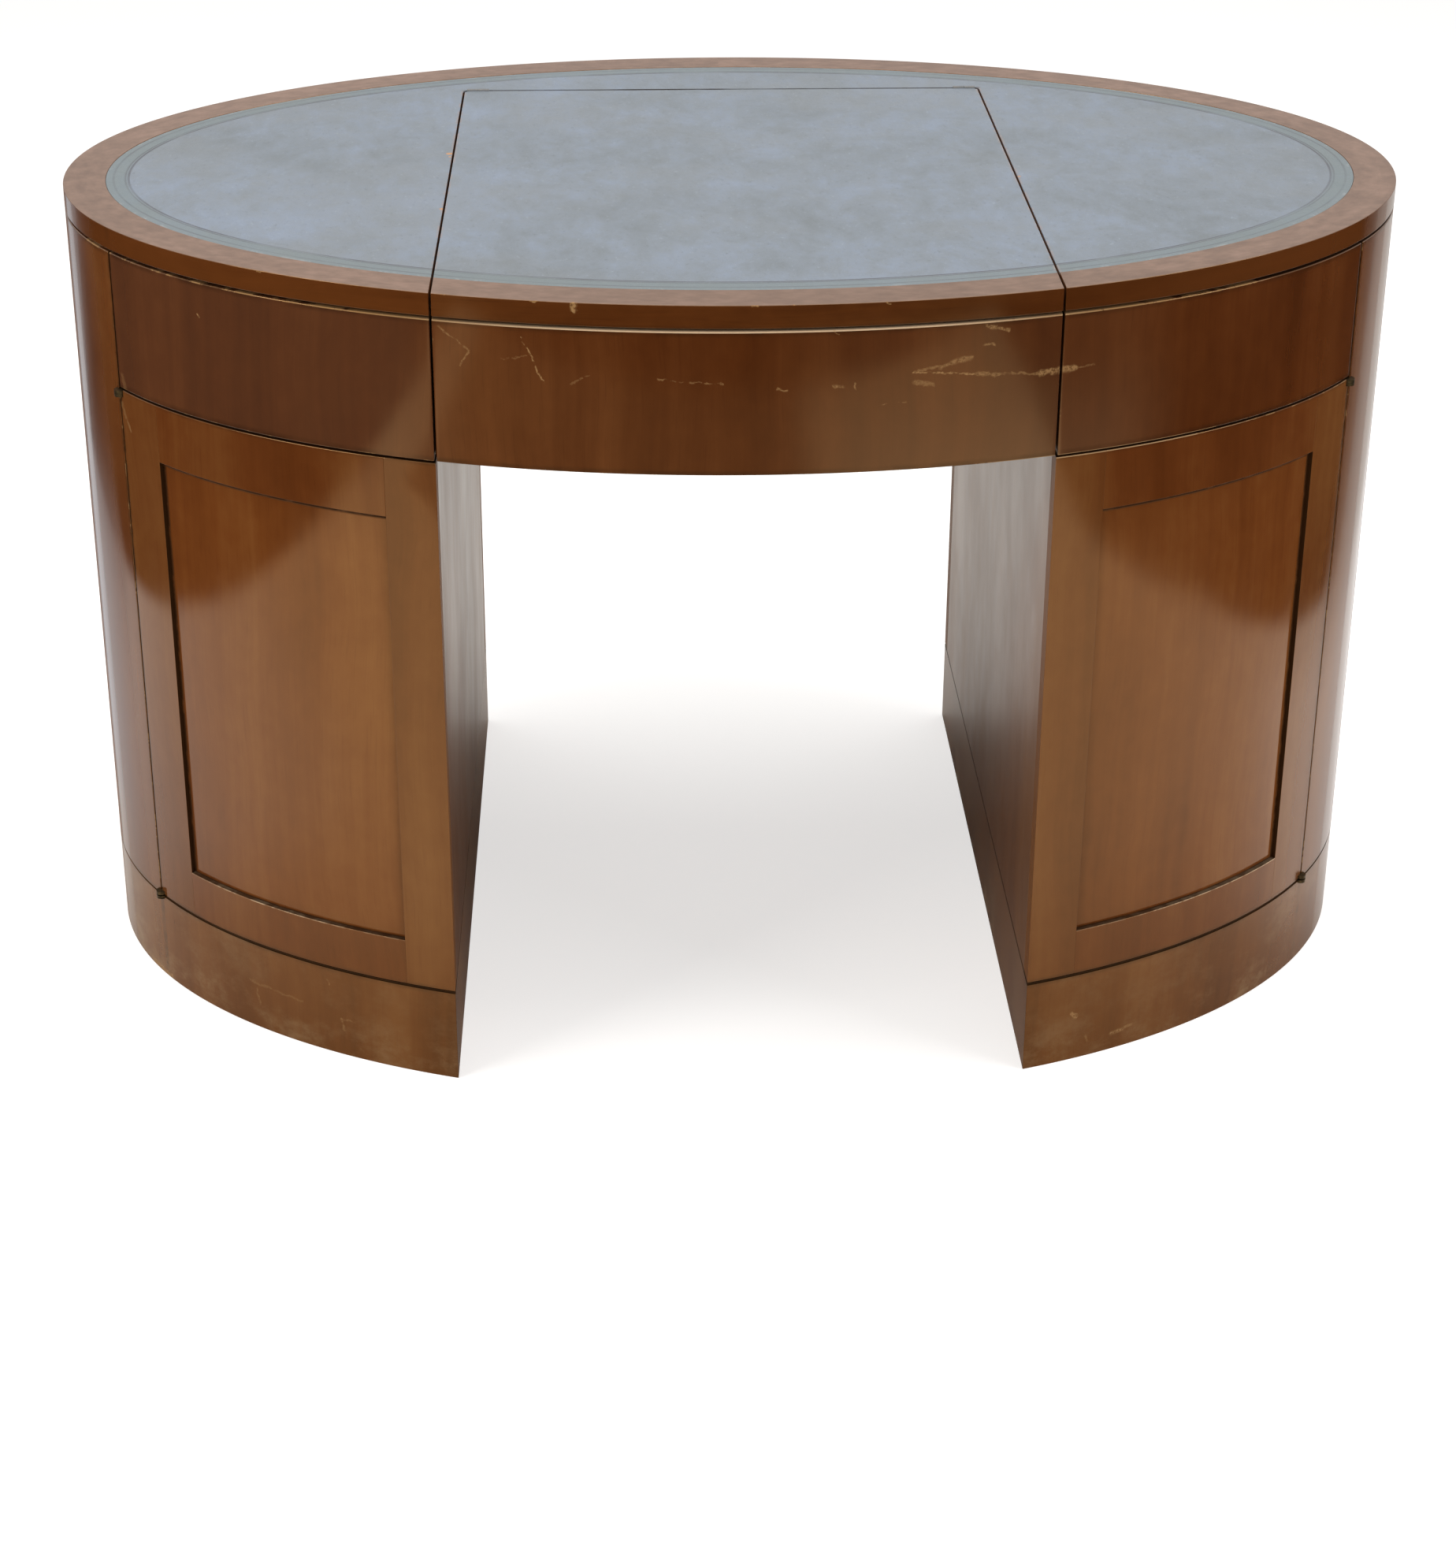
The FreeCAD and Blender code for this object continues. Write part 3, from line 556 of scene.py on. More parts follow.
# Scratches and chips, in millimetres: from (along the outline, height) to (along, height),
# half width, strength.
FRIEZE_MARKS = [
    (-255, 733, -229, 713, 1.0, 0.45), (-229, 713, -239, 700, 1.0, 0.5),
    (-185, 728, -167, 688, 0.9, 0.75), (-203, 708, -182, 713, 0.8, 0.3),
    (-145, 690, -130, 698, 0.9, 0.3), (-75, 696, -21, 692, 0.8, 0.4),
    (21, 688, 31, 686, 1.2, 0.5), (67, 737, 72, 733, 0.8, 0.45),
    (70, 689, 78, 688, 1.6, 0.55), (86, 690, 86, 687, 1.0, 0.55), (99, 689, 100, 686, 1.0, 0.55),
    (108, 671, 129, 672, 0.7, 0.4), (135, 689, 151, 686, 2.2, 0.45),
    (136, 699, 160, 702, 1.3, 0.45), (156, 701, 182, 708, 2.4, 0.5), (134, 698, 188, 693, 1.1, 0.7),
    (188, 693, 208, 690, 2.0, 0.5), (208, 690, 246, 688, 1.4, 0.4),
    (244, 688, 256, 688, 3.2, 0.6), (261, 688, 275, 689, 3.2, 0.6), (275, 689, 293, 690, 1.0, 0.3),
    (194, 735, 214, 728, 1.5, 0.5), (194, 718, 202, 716, 1.4, 0.5), (-487, 708, -486, 707, 1.1, 0.9),
    (285, 738, 297, 735, 0.7, 0.3), (-598, 624, -595, 612, 3.2, 0.22),
]
STILE_MARKS = [(-603, 597, -598, 585, 1.8, 0.3), (-597, 583, -592, 573, 1.5, 0.4)]
RIM_MARKS = [
    (-142, 758, -142, 754, 3.0, 0.85), (-143, 757, -142, 752, 1.6, 0.8), (-252, 760, -247, 760, 0.9, 0.7),
    (-178, 760, -170, 760, 0.9, 0.8), (2, 760, 6, 760, 1.0, 0.8), (34, 760, 40, 760, 0.8, 0.7),
    (110, 760, 113, 759, 0.9, 0.6), (-420, 760, -410, 760, 0.9, 0.6), (205, 760, 212, 760, 0.8, 0.5),
]
PLINTH_MARKS = [
    (-481, 49, -421, 46, 1.4, 0.24), (-473, 42, -470, 26, 1.4, 0.26),
    (-378, 39, -376, 26, 1.3, 0.36), (-377, 39, -364, 39, 1.1, 0.3), (-391, 78, -389, 73, 1.1, 0.3),
    (309, 50, 313, 46, 2.4, 0.6), (353, 17, 365, 18, 2.4, 0.5), (368, 20, 375, 20, 1.6, 0.45),
    (325, 23, 327, 16, 1.4, 0.3), (-635, 3, -600, 2, 4.0, 0.7),
]
LEATHER_CHIPS = [  # X, Y, radius of places where the leather has gone at the seam
    (-0.262, 0.043, 0.004), (-0.261, 0.033, 0.002), (-0.26, -0.124, 0.003), (0.261, -0.04, 0.002),
]
MILLIMETRE = 0.001
MARK_SPREAD = 1.25  # drawn half width over the listed one
WANDER = ((260.0, 0.004), (60.0, 0.006))  # scale of a mark's unevenness, and its reach
MARK = mark_group()


def marks_mask(spot, marks):
    """Union of straight marks, roughened and broken up."""
    place = spot
    for scale, reach in WANDER:
        given = {"Vector": spot, "Scale": scale, "Detail": 3.0}
        wander = vector_of("SUBTRACT", shader(spot.tree, "TexNoise", given, "Color"), (0.5, 0.5, 0.5))
        place = vector_of("ADD", place, vector_of("SCALE", wander, reach))
    masks = []
    for start, foot, end, head, width, strength in marks:
        given = {
            "Place": place,
            "Start": (start * MILLIMETRE, 0, foot * MILLIMETRE),
            "End": (end * MILLIMETRE, 0, head * MILLIMETRE),
            "Width": MARK_SPREAD * width * MILLIMETRE,
        }
        masks.append(shader(spot.tree, "Group", given, "Mask", node_tree=MARK) * strength)
    broken = noise(spot, (330, 330, 330), roughness=0.75)
    return most(*masks) * between(broken, 0.35, 0.56, 0.18, 1.0)


def recess_shade_and_grime(spot):
    """Painted shade along the frame that stands over a door panel, under the upper rail and at the
    joints, and grime along the lock side.
    """
    x, _, z = parts_of(spot)
    hinge_side = arc_length(normal_at(SEAM_X - HINGE_STILE, 0)(PANEL_INSET))
    lock_side = arc_length(normal_at(KNEE_INNER + LOCK_STILE, 0)(PANEL_INSET))
    top = near_edge(z, DOOR_HIGH - UPPER_RAIL, 0.003, 0.0022)
    foot = near_edge(z, DOOR_LOW + LOWER_RAIL, 0.0004, 0.0018)
    hinge = near_edge(abs(x), hinge_side, 0.0008, 0.003)
    lock = near_edge(abs(x), lock_side, 0.001, 0.012) * 0.22
    patchy = between(noise(spot, (40, 40, 40)), 0.32, 0.52, 0.55, 1.0)
    return most(top, foot, hinge, lock) * patchy


def seam_grime(spot, heights):
    """Faint dark halo on the faces beside the outer seam and the level gaps."""
    x, _, z = parts_of(spot)
    seam = near_edge(abs(x), arc_length(front_at(SEAM_X)(0)), 0.001, 0.004)
    gaps = [near_edge(z, height, 0.0012, 0.005) for height in heights]
    patchy = between(noise(spot, (26, 26, 60)), 0.36, 0.58, 0.15, 0.45)
    return most(seam, *gaps) * patchy


def lit_worn_ledge(spot):
    """Painted highlight and bare wear along a lower rail's upper edge, where its bevel catches the light,
    strongest towards the hinge.
    """
    x, _, z = parts_of(spot)
    line = near_edge(z, DOOR_LOW + LOWER_RAIL, 0.0006, 0.0006)
    strength = between(abs(x), PALE_LEDGE_REACH - 0.1, PALE_LEDGE_REACH, 0.25, 0.85)
    patchy = between(noise(spot, (90, 90, 90)), 0.4, 0.6, 0.2, 1.0)
    return line * strength * patchy


def kick_marks(spot, strength):
    """Scuffs of shoes on a plinth, most near the floor and round the outside."""
    x, _, z = parts_of(spot)
    rubbed = between(noise(spot, (11, 11, 16), detail=7.0, roughness=0.74), 0.44, 0.7, 0.0, strength)
    return rubbed * between(z, 0.0, 0.06, 1.0, 0.35) * between(abs(x), 0.35, 0.7, 0.5, 1.0)


# --- finishes

BARE_DULL = (0.235, 0.13, 0.055, 1)
BARE_LIGHT = (0.56, 0.405, 0.26, 1)
SCRATCHED = (0.36, 0.205, 0.085, 1)
SCUFFED = (0.3, 0.19, 0.095, 1)
# Lighter tone painted on the centre front for a reflection.
GLARE_TONE = (0.16, 0.082, 0.04, 1)
MISTY = (0.15, 0.092, 0.06, 1)
HANDLED = (0.075, 0.04, 0.03, 1)
# Near black: painted shade in gaps and recesses, and grime beside the seams.
SHADE_AND_GRIME = (0.012, 0.006, 0.003, 1)
DUST = (0.15, 0.16, 0.17, 1)
SHELLAC_TINT = (1.0, 0.57, 0.2, 1)
COAT = 0.16


def painted_glare(spot, color):
    """Painted reflection: the right half of the centre front is painted lighter, most low down, and its
    left end a little misty.
    """
    x, _, z = parts_of(spot)
    low = between(z, 0.6, 0.72, 1.0, 0.25)
    glare_mask = between(x, -0.02, 0.15) * low * falling(x, 0.3, 0.4)
    color = mix_color(glare_mask * 0.4, color, GLARE_TONE)
    return mix_color(between(x, -0.3, -0.22, 0.14, 0.0), color, MISTY)


def painted_top_face(spot, figure, pores, faded):
    """The colour of the rim's top: painted pale for the light and reflection it catches from above,
    speckled, darker where hands have rested.
    """
    x = parts_of(spot)[0]
    speckle = weighted(figure * 0.55, (noise(spot, (60, 130, 60), roughness=0.6), 0.45))
    pale = ramp(speckle, list(zip((0.4, 0.5, 0.6), faded)))
    pale = mix_color(between(abs(x), 0.1, 0.4, 0.3, 0.0), pale, HANDLED)
    return mix_color(between(pores, 0.55, 0.75, 0.0, 0.14), pale, (*faded[0], 1))


def lacquered_wood(name, dark, middle, light, marks=(), scuffs=0.0, with_glare=False, part="",
                   shine=0.045, faded=None):
    """Mahogany veneer under an orange shellac: ribbon figure, pores, painted shade and grime in the
    corners, bare arrises, scratches, and a matt top painted paler for the light that falls on it."""
    item, tree = new_material(name)
    grain, spot, out = [attribute(tree, key) for key in ("grain", "spot", "out")]
    worn = attribute(tree, "worn", "Fac")
    x = parts_of(spot)[0]
    sway = noise(grain, (2.0, 2.0, 2.4), detail=2.0)
    place = vector_of("ADD", grain, shader(tree, "CombineXYZ", {"X": sway * 0.06}))

    ribbon = noise(place, (17, 17, 0.8), detail=3.0, roughness=0.5)
    stripe = noise(place, (95, 95, 2.6), roughness=0.6)
    cloud = noise(place, (4.5, 4.5, 2.6), detail=3.0)
    flame = noise(place, (60, 60, 42), detail=2.0)
    pores = noise(place, (560, 560, 20), detail=1.0, roughness=0.6)
    figure = weighted(ribbon * 0.4, (stripe, 0.14), (cloud, 0.36), (flame, 0.1))
    color = ramp(figure, [(0.34, dark), (0.5, middle), (0.66, light)])
    color = mix_color(between(pores, 0.56, 0.74, 0.0, 0.2), color, (*dark, 1))
    # Painted reflection on the centre front.
    if with_glare:
        color = painted_glare(spot, color)
    if part != "knee":
        heights = (PLINTH_HIGH, FRONT_HIGH) if part == "shell" else (PLINTH_HIGH, FRONT_LOW, FRONT_HIGH)
        color = mix_color(seam_grime(spot, heights), color, SHADE_AND_GRIME)

    chips = noise(grain, (70, 70, 70), detail=5.0, roughness=0.7)
    bare = between(weighted(chips, (worn, 0.5)), 0.93, 1.03)
    color = mix_color(bare, color, mix_color(between(worn, 1.15, 1.65), BARE_DULL, BARE_LIGHT))
    if marks:
        scored = marks_mask(spot, marks)
        color = mix_color(scored, color, SCRATCHED)
        bare = most(bare, scored)
    if part == "rail":
        # Painted highlight and wear on a lower rail's upper edge.
        ledge = lit_worn_ledge(spot)
        color = mix_color(ledge, color, BARE_LIGHT)
        bare = most(bare, ledge)
    if scuffs:
        color = mix_color(kick_marks(spot, scuffs), color, SCUFFED)

    # Painted shade darkens the faces of a curved piece that turn away from the outline's outward side, in
    # its gaps, grooves and recesses.
    turned = shader(tree, "VectorTransform", {0: shader(tree, "NewGeometry", output="Normal")},
                    vector_type="NORMAL", convert_from="WORLD", convert_to="OBJECT")
    sideways = falling(abs(parts_of(turned)[0]), 0.93, 0.97)
    shut_shade = falling(abs(vector_of("DOT_PRODUCT", turned, out)), 0.25, 0.8)
    shut_shade = shut_shade * sideways * vector_of("LENGTH", out) * falling(worn, 0.7, 1.1)
    shut_shade = most(shut_shade, falling(worn, -0.6, -0.2))
    if part == "panel":
        # Painted shade and grime on a panel along its frame.
        shut_shade = most(shut_shade, recess_shade_and_grime(spot))
    # The left door's outer seam is filled and hardly shows, so the painted shade is nearly left off
    # there.
    shade_and_grime = shut_shade * between(x, -0.66, -0.6, 0.05, 1.0) * (0.82 if faded is None else 0.0)
    color = mix_color(shade_and_grime, color, SHADE_AND_GRIME)

    smear = between(noise(place, (9, 9, 5), roughness=0.6), 0.3, 0.7, shine, shine + 0.1)
    rough = most(smear, bare * 0.6, shade_and_grime * 0.8)
    # A sharp mirror seen at a slant leaves the render noisy, so the gloss is blurred there.
    slant = shader(tree, "LayerWeight", {"Blend": 0.5}, "Facing")
    rough = most(rough, between(slant, 0.58, 0.66) * between(slant, 0.79, 0.84, 0.29, 0.0))
    gloss = COAT - most(bare, shade_and_grime) * COAT
    if part != "knee":
        # End faces were never polished, and the kneehole side of a plinth is rubbed dull.
        matt = 0.26 if part == "plinth" else 0.55
        rough = most(rough, weighted(matt, (sideways, -matt)))
        gloss = gloss * sideways
    if faded is not None:
        redder = between(abs(x), 0.15, 0.45, 0.0, 0.45)
        color = mix_color(redder * (1.0 - bare), color, (*light, 1))
        # Painted light: the rim's upward faces are painted paler, as lit from above, and made matt.
        painted_top_mask = attribute(tree, "faded", "Fac")
        color = mix_color(painted_top_mask * (1.0 - bare), color, painted_top_face(spot, figure, pores, faded))
        rough = most(rough, painted_top_mask * 0.42)
        gloss = math_of("SUBTRACT", gloss, painted_top_mask * 0.1, clamp=True)

    body = bump(noise(place, (14, 14, 2.0), detail=1.0), 0.001, 0.14)
    film = bump(noise(place, (80, 80, 26), detail=2.0), 0.00008, 0.06, body)
    close(shader(tree, "BsdfPrincipled", {
        "Base Color": color, "Roughness": rough, "Normal": body, "IOR": 1.72,
        "Specular IOR Level": weighted(0.5, (shade_and_grime, -0.5)), "Specular Tint": SHELLAC_TINT,
        "Coat Weight": gloss, "Coat Roughness": 0.07, "Coat IOR": 1.5, "Coat Normal": film,
    }))
    return item


def board_wood(name, axis, stain=(1.0, 1.0, 1.0)):
    """Plain sealed wood of the inner boards, its grain along one axis, stained or not."""
    item, tree = new_material(name)
    place = shader(tree, "TexCoord", output="Object")
    long_way = {"X": (1.5, 45, 45), "Y": (45, 1.5, 45), "Z": (45, 45, 1.5)}[axis]
    rings = noise(place, long_way, roughness=0.6, distortion=0.4)
    fibre = noise(place, tuple(part * 14 for part in long_way), detail=3.0, roughness=0.7)
    shades = ((0.3, (0.2, 0.105, 0.045)), (0.52, (0.34, 0.2, 0.1)), (0.75, (0.45, 0.29, 0.16)))
    shades = [(at, tuple(map(operator.mul, shade, stain))) for at, shade in shades]
    close(shader(tree, "BsdfPrincipled", {
        "Base Color": ramp(rings * 0.7 + fibre * 0.3, shades),
        "Roughness": between(fibre, 0.3, 0.7, 0.48, 0.66),
        "Normal": bump(fibre, 0.0001, 0.5), "IOR": 1.45,
    }))
    return item


def leather_seams(place, color):
    """Dry edges, grime and bare spots along the lid's seams."""
    x, y, _ = parts_of(place)
    dry = between(abs(abs(x) - KNEE_INNER), 0.0016, 0.0036, 0.6, 0.0)
    patchy = between(noise(place, (55, 55, 55)), 0.44, 0.6)
    before_seam = falling(y, BAY_BACK - TINY, BAY_BACK + 2 * TINY)
    color = mix_color(dry * patchy * before_seam, color, (0.235, 0.185, 0.17, 1))
    rear = near_edge(y, BAY_BACK - HALF_GAP, 0.0016, 0.002)
    darkest = near_edge(x, -0.05, 0.04, 0.03)
    gone = near_edge(x, 0.03, 0.01, 0.02)
    rear = rear * weighted(0.55, (darkest, 0.45)) * weighted(1.0, (gone, -0.7))
    within = falling(abs(x), BAY_SIDE, BAY_SIDE + 0.002)
    grimy = between(noise(place, (14, 60, 20)), 0.34, 0.52, 0.35, 0.92)
    color = mix_color(rear * within * grimy, color, (0.02, 0.015, 0.014, 1))
    ragged = noise(place, (420, 420, 420), detail=3.0)
    for chip_x, chip_y, radius in LEATHER_CHIPS:
        off = vector_of("DISTANCE", place, (chip_x, chip_y, LEATHER_HIGH))
        chip = between(weighted(off, (ragged, radius)), radius * 1.1, radius * 1.5, 0.9, 0.0)
        color = mix_color(chip, color, (0.42, 0.21, 0.09, 1))
    return color


def skiver(name):
    """Worn slate-blue leather with a blind-tooled border that follows the oval."""
    item, tree = new_material(name)
    place = shader(tree, "TexCoord", output="Object")
    x, y, _ = parts_of(place)
    # Distance in from the leather's edge: the oval's equation over its slope.
    level = 1.0 - ((x / LEATHER_LENGTH) ** 2 + (y / LEATHER_DEPTH) ** 2)
    slope = math_of("SQRT", (x / LEATHER_LENGTH**2) ** 2 + (y / LEATHER_DEPTH**2) ** 2)
    edge = level / (slope * 2.0)

    def line(at, width):
        return falling(abs(edge - at), width * 0.2, width)

    fade = between(noise(place, (9, 9, 9), detail=5.0), 0.36, 0.58, 0.4, 1.0)
    inner = most(line(0.0208, 0.0017), line(0.0178, 0.0014) * 0.7)
    tooling = most(inner, line(0.007, 0.0016) * 0.55) * fade
    border = falling(edge, 0.0175, 0.023)
    frayed = between(noise(place, (70, 45, 80), detail=5.0, roughness=0.75), 0.52, 0.64)
    frayed = frayed * falling(edge, 0.001, 0.005)

    clouds = noise(place, (3.4, 3.8, 4), detail=5.0, roughness=0.62)
    mottle = noise(place, (44, 24, 36), detail=7.0, roughness=0.72)
    wisps = noise(place, (20, 13, 20), detail=6.0, roughness=0.7, distortion=1.2)
    flecks = noise(place, (240, 130, 300), roughness=0.68)
    color = ramp(weighted(clouds * 0.38, (mottle, 0.38), (wisps, 0.24)), [
        (0.39, (0.124, 0.142, 0.156)), (0.5, (0.16, 0.184, 0.214)), (0.61, (0.186, 0.22, 0.278))])
    for amount, tint in (
        (between(noise(place, (5, 7, 5)), 0.46, 0.64, 0.0, 0.32), (0.17, 0.182, 0.19, 1)),
        (between(flecks, 0.58, 0.72, 0.0, 0.4), (0.085, 0.098, 0.11, 1)),
        (between(flecks, 0.4, 0.28, 0.0, 0.3), (0.29, 0.34, 0.39, 1)),
        (border * 0.65, (0.128, 0.156, 0.156, 1)),
        (frayed * 0.4, (0.3, 0.31, 0.31, 1)),
        (tooling * 0.9, (0.06, 0.06, 0.072, 1)),
    ):
        color = mix_color(amount, color, tint)

    pebble = shader(tree, "TexVoronoi", {"Vector": place, "Scale": 900.0}, feature="DISTANCE_TO_EDGE")
    creases = noise(place, (80, 44, 80), detail=7.0, roughness=0.76, distortion=0.6)
    waves = noise(place, (8, 12, 10), detail=2.0)
    relief = bump(creases, 0.0007, 0.4, bump(pebble ** 0.5, 0.00012, 0.4))
    relief = bump(1.0 - tooling, 0.0004, 0.8, bump(waves, 0.002, 0.22, relief))
    close(shader(tree, "BsdfPrincipled", {
        "Base Color": leather_seams(place, color), "Roughness": between(mottle, 0.3, 0.7, 0.4, 0.56),
        "Normal": relief, "IOR": 1.45,
    }))
    return item


def old_brass(name, shade=1.0, dust=0.0):
    """Tarnished brass, the darker the lower the shade, under more or less grey dust."""
    item, tree = new_material(name)
    stain = noise(shader(tree, "TexCoord", output="Object"), (220, 220, 220), detail=5.0, roughness=0.7)
    tones = ((0.35, (0.05, 0.036, 0.022)), (0.55, (0.15, 0.1, 0.045)), (0.75, (0.32, 0.22, 0.1)))
    color = ramp(stain, [(at, tuple(part * shade for part in tone)) for at, tone in tones])
    close(shader(tree, "BsdfPrincipled", {
        "Base Color": mix_color(between(stain, 0.3, 0.7, dust, 0.8 * dust), color, DUST),
        "Roughness": between(stain, 0.3, 0.7, 0.62, 0.34), "Metallic": 1.0 - dust,
        "Normal": bump(stain, 0.0001, 0.4),
    }))
    return item


PANEL_WOOD = lacquered_wood(
    "mahogany_panels", (0.092, 0.023, 0.0045), (0.15, 0.044, 0.0095), (0.215, 0.08, 0.021), part="panel")
STILE_WOOD = lacquered_wood(
    "mahogany_stiles", (0.08, 0.022, 0.005), (0.13, 0.041, 0.01), (0.185, 0.072, 0.02),
    marks=STILE_MARKS)
RAIL_WOOD = lacquered_wood(
    "mahogany_rails", (0.074, 0.018, 0.0036), (0.118, 0.032, 0.0068), (0.17, 0.06, 0.015), part="rail")
FRIEZE_WOOD = lacquered_wood(
    "mahogany_frieze", (0.052, 0.0125, 0.0028), (0.09, 0.024, 0.0055), (0.135, 0.042, 0.011),
    marks=FRIEZE_MARKS, with_glare=True)
SHELL_WOOD = lacquered_wood(
    "mahogany_shells", (0.072, 0.018, 0.004), (0.118, 0.035, 0.0085), (0.175, 0.063, 0.018), part="shell")
KNEE_WOOD = lacquered_wood(
    "mahogany_knee", (0.08, 0.024, 0.007), (0.12, 0.04, 0.012), (0.17, 0.066, 0.022), shine=0.3,
    part="knee")
PLINTH_WOOD = lacquered_wood(
    "mahogany_plinth", (0.078, 0.023, 0.005), (0.13, 0.043, 0.01), (0.185, 0.072, 0.02),
    marks=PLINTH_MARKS, scuffs=0.85, part="plinth")
RIM_WOOD = lacquered_wood(
    "mahogany_rim", (0.036, 0.009, 0.002), (0.076, 0.021, 0.0046), (0.138, 0.041, 0.009),
    marks=RIM_MARKS, faded=((0.09, 0.052, 0.042), (0.13, 0.078, 0.06), (0.18, 0.11, 0.086)))
LEATHER = skiver("slate_leather")
BRASS = old_brass("old_brass", 0.7)
SEAM_BRASS = old_brass("dusty_brass", 0.6, dust=0.8)
CORE_STAIN = (0.5, 0.36, 0.3)
BOARDS = {axis: board_wood("inner_wood_" + axis.lower(), axis) for axis in "XYZ"}
CORE_WOOD = board_wood("stained_core", "X", CORE_STAIN)


# --- wood pieces

def both(maker, material, kind, wear, body, label):
    """A right-hand piece and its twin, each standing for its own node."""
    right = maker("right_" + label + "_skin")
    left = mirror_copy(right, "left_" + label + "_skin")
    for side, item in (("right", right), ("left", left)):
        finish_piece(item, material, kind, wear, body.format(side=side), f"{side}_{label}")


def hinge_notch(low, high):
    """Upright cutter where a hinge eye sits in the wood."""
    foot = oval(0, front_at(SEAM_X)(0))
    work = bmesh.new()
    bmesh.ops.create_cone(
        work, cap_ends=True, segments=32, radius1=EYE_ROOM, radius2=EYE_ROOM, depth=high - low,
        matrix=Matrix.Translation((foot.x, foot.y, (low + high) / 2)),
    )
    mesh = bpy.data.meshes.new("notch")
    work.to_mesh(mesh)
    work.free()
    return new_object("notch", mesh)


EYE_HEIGHT = 0.0033  # of the room for one hinge eye; the upper pair takes two
LOWER_EYE_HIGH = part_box("right_door_hinge_leaves")[0].z + EYE_HEIGHT
UPPER_EYE_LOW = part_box("right_carcass_hinge_leaves")[1].z - 2 * EYE_HEIGHT
NOTCH_PLAY = 0.0003
OVERSHOOT = 0.002


def make_shell(name):
    start = normal_at(SEAM_X, HALF_GAP)
    item = wall(name, shell_section(PLINTH_HIGH), start, back_at(KNEE_INNER), SHELL_STEPS)
    round_arrises(item)
    cut_away(item, [
        hinge_notch(PLINTH_HIGH - OVERSHOOT, LOWER_EYE_HIGH),
        hinge_notch(UPPER_EYE_LOW, DOOR_HIGH + NOTCH_PLAY),
    ])
    return item


FRONT_SECTION = eased_plate(0, WALL, FRONT_LOW, FRONT_HIGH, FRONT_EASE)


def make_drawer_front(name):
    item = wall(name, FRONT_SECTION, front_at(BAY_SIDE), normal_at(SEAM_X, -HALF_GAP), DRAWER_STEPS)
    round_arrises(item)
    return item


def make_centre_front():
    right_end = front_at(LID_SIDE)
    left_end = mirrored(right_end, -pi)
    item = wall("centre_drawer_front_skin", FRONT_SECTION, left_end, right_end, WIDE_STEPS)
    round_arrises(item)
    finish_piece(item, FRIEZE_WOOD, "wall", wear_front, "centre_drawer", "centre_drawer_front")


def make_apron():
    right_end = back_at(KNEE_INNER)
    left_end = mirrored(right_end, pi)
    item = wall("back_apron_skin", shell_section(FRONT_LOW), right_end, left_end, WIDE_STEPS)
    round_arrises(item)
    finish_piece(item, SHELL_WOOD, "wall", wear_front, "carcass", "back_apron")


def make_stiles(name):
    """Both stiles of a door as one piece, the hinge stile notched round the hinge eyes."""
    section = eased_plate(0, WALL, DOOR_LOW, DOOR_HIGH, DOOR_EASE)
    lock = wall(name, section, front_at(KNEE_INNER), normal_at(KNEE_INNER + LOCK_STILE, 0), STILE_STEPS)
    start = normal_at(SEAM_X - HINGE_STILE, 0)
    hinge = wall("hinge_stile", section, start, normal_at(SEAM_X, -HALF_GAP), STILE_STEPS)
    for item in (lock, hinge):
        round_arrises(item, FINE_ARRIS)
    cut_away(hinge, [
        hinge_notch(DOOR_LOW - OVERSHOOT, LOWER_EYE_HIGH),
        hinge_notch(UPPER_EYE_LOW, DOOR_HIGH + OVERSHOOT),
    ])
    return joined(lock, hinge)


def joined(first, second):
    """Two separate solids as one piece."""
    work = bmesh.new()
    work.from_mesh(first.data)
    work.from_mesh(second.data)
    work.to_mesh(first.data)
    work.free()
    bpy.data.objects.remove(second)
    return first


def make_rails(name):
    start = normal_at(KNEE_INNER + LOCK_STILE, 0)
    end = normal_at(SEAM_X - HINGE_STILE, 0)
    low = wall(name, plate(0, WALL, DOOR_LOW, DOOR_LOW + LOWER_RAIL), start, end, RAIL_STEPS)
    upper = eased_plate(0, WALL, DOOR_HIGH - UPPER_RAIL, DOOR_HIGH, DOOR_EASE)
    high = wall("upper_rail", upper, start, end, RAIL_STEPS)
    for item in (low, high):
        round_arrises(item, FINE_ARRIS)
    return joined(low, high)


def make_panel(name):
    low = DOOR_LOW + LOWER_RAIL - PANEL_TONGUE
    high = DOOR_HIGH - UPPER_RAIL + PANEL_TONGUE
    start = normal_at(KNEE_INNER + LOCK_STILE, -PANEL_TONGUE)
    end = normal_at(SEAM_X - HINGE_STILE, PANEL_TONGUE)
    item = wall(name, plate(PANEL_INSET, PANEL_BACK, low, high), start, end, PANEL_STEPS)
    round_arrises(item, PANEL_ARRIS, 2)
    return item


def make_knee_panel(name):
    """Flat plank, its long edges cut to the oval of the boards."""
    corners = []
    for x, way in ((KNEE_INNER, -1), (KNEE_OUTER, -1), (KNEE_OUTER, 1), (KNEE_INNER, 1)):
        reach = (HALF_DEPTH - WALL_TO_BOARD) * sqrt(1 - (x / (HALF_LENGTH - WALL_TO_BOARD)) ** 2)
        corners.append((x, way * reach))
    item = sweep(name, [[(*corner, z) for corner in corners] for z in (PLINTH_HIGH, SLAB_LOW)])
    round_arrises(item)
    return item


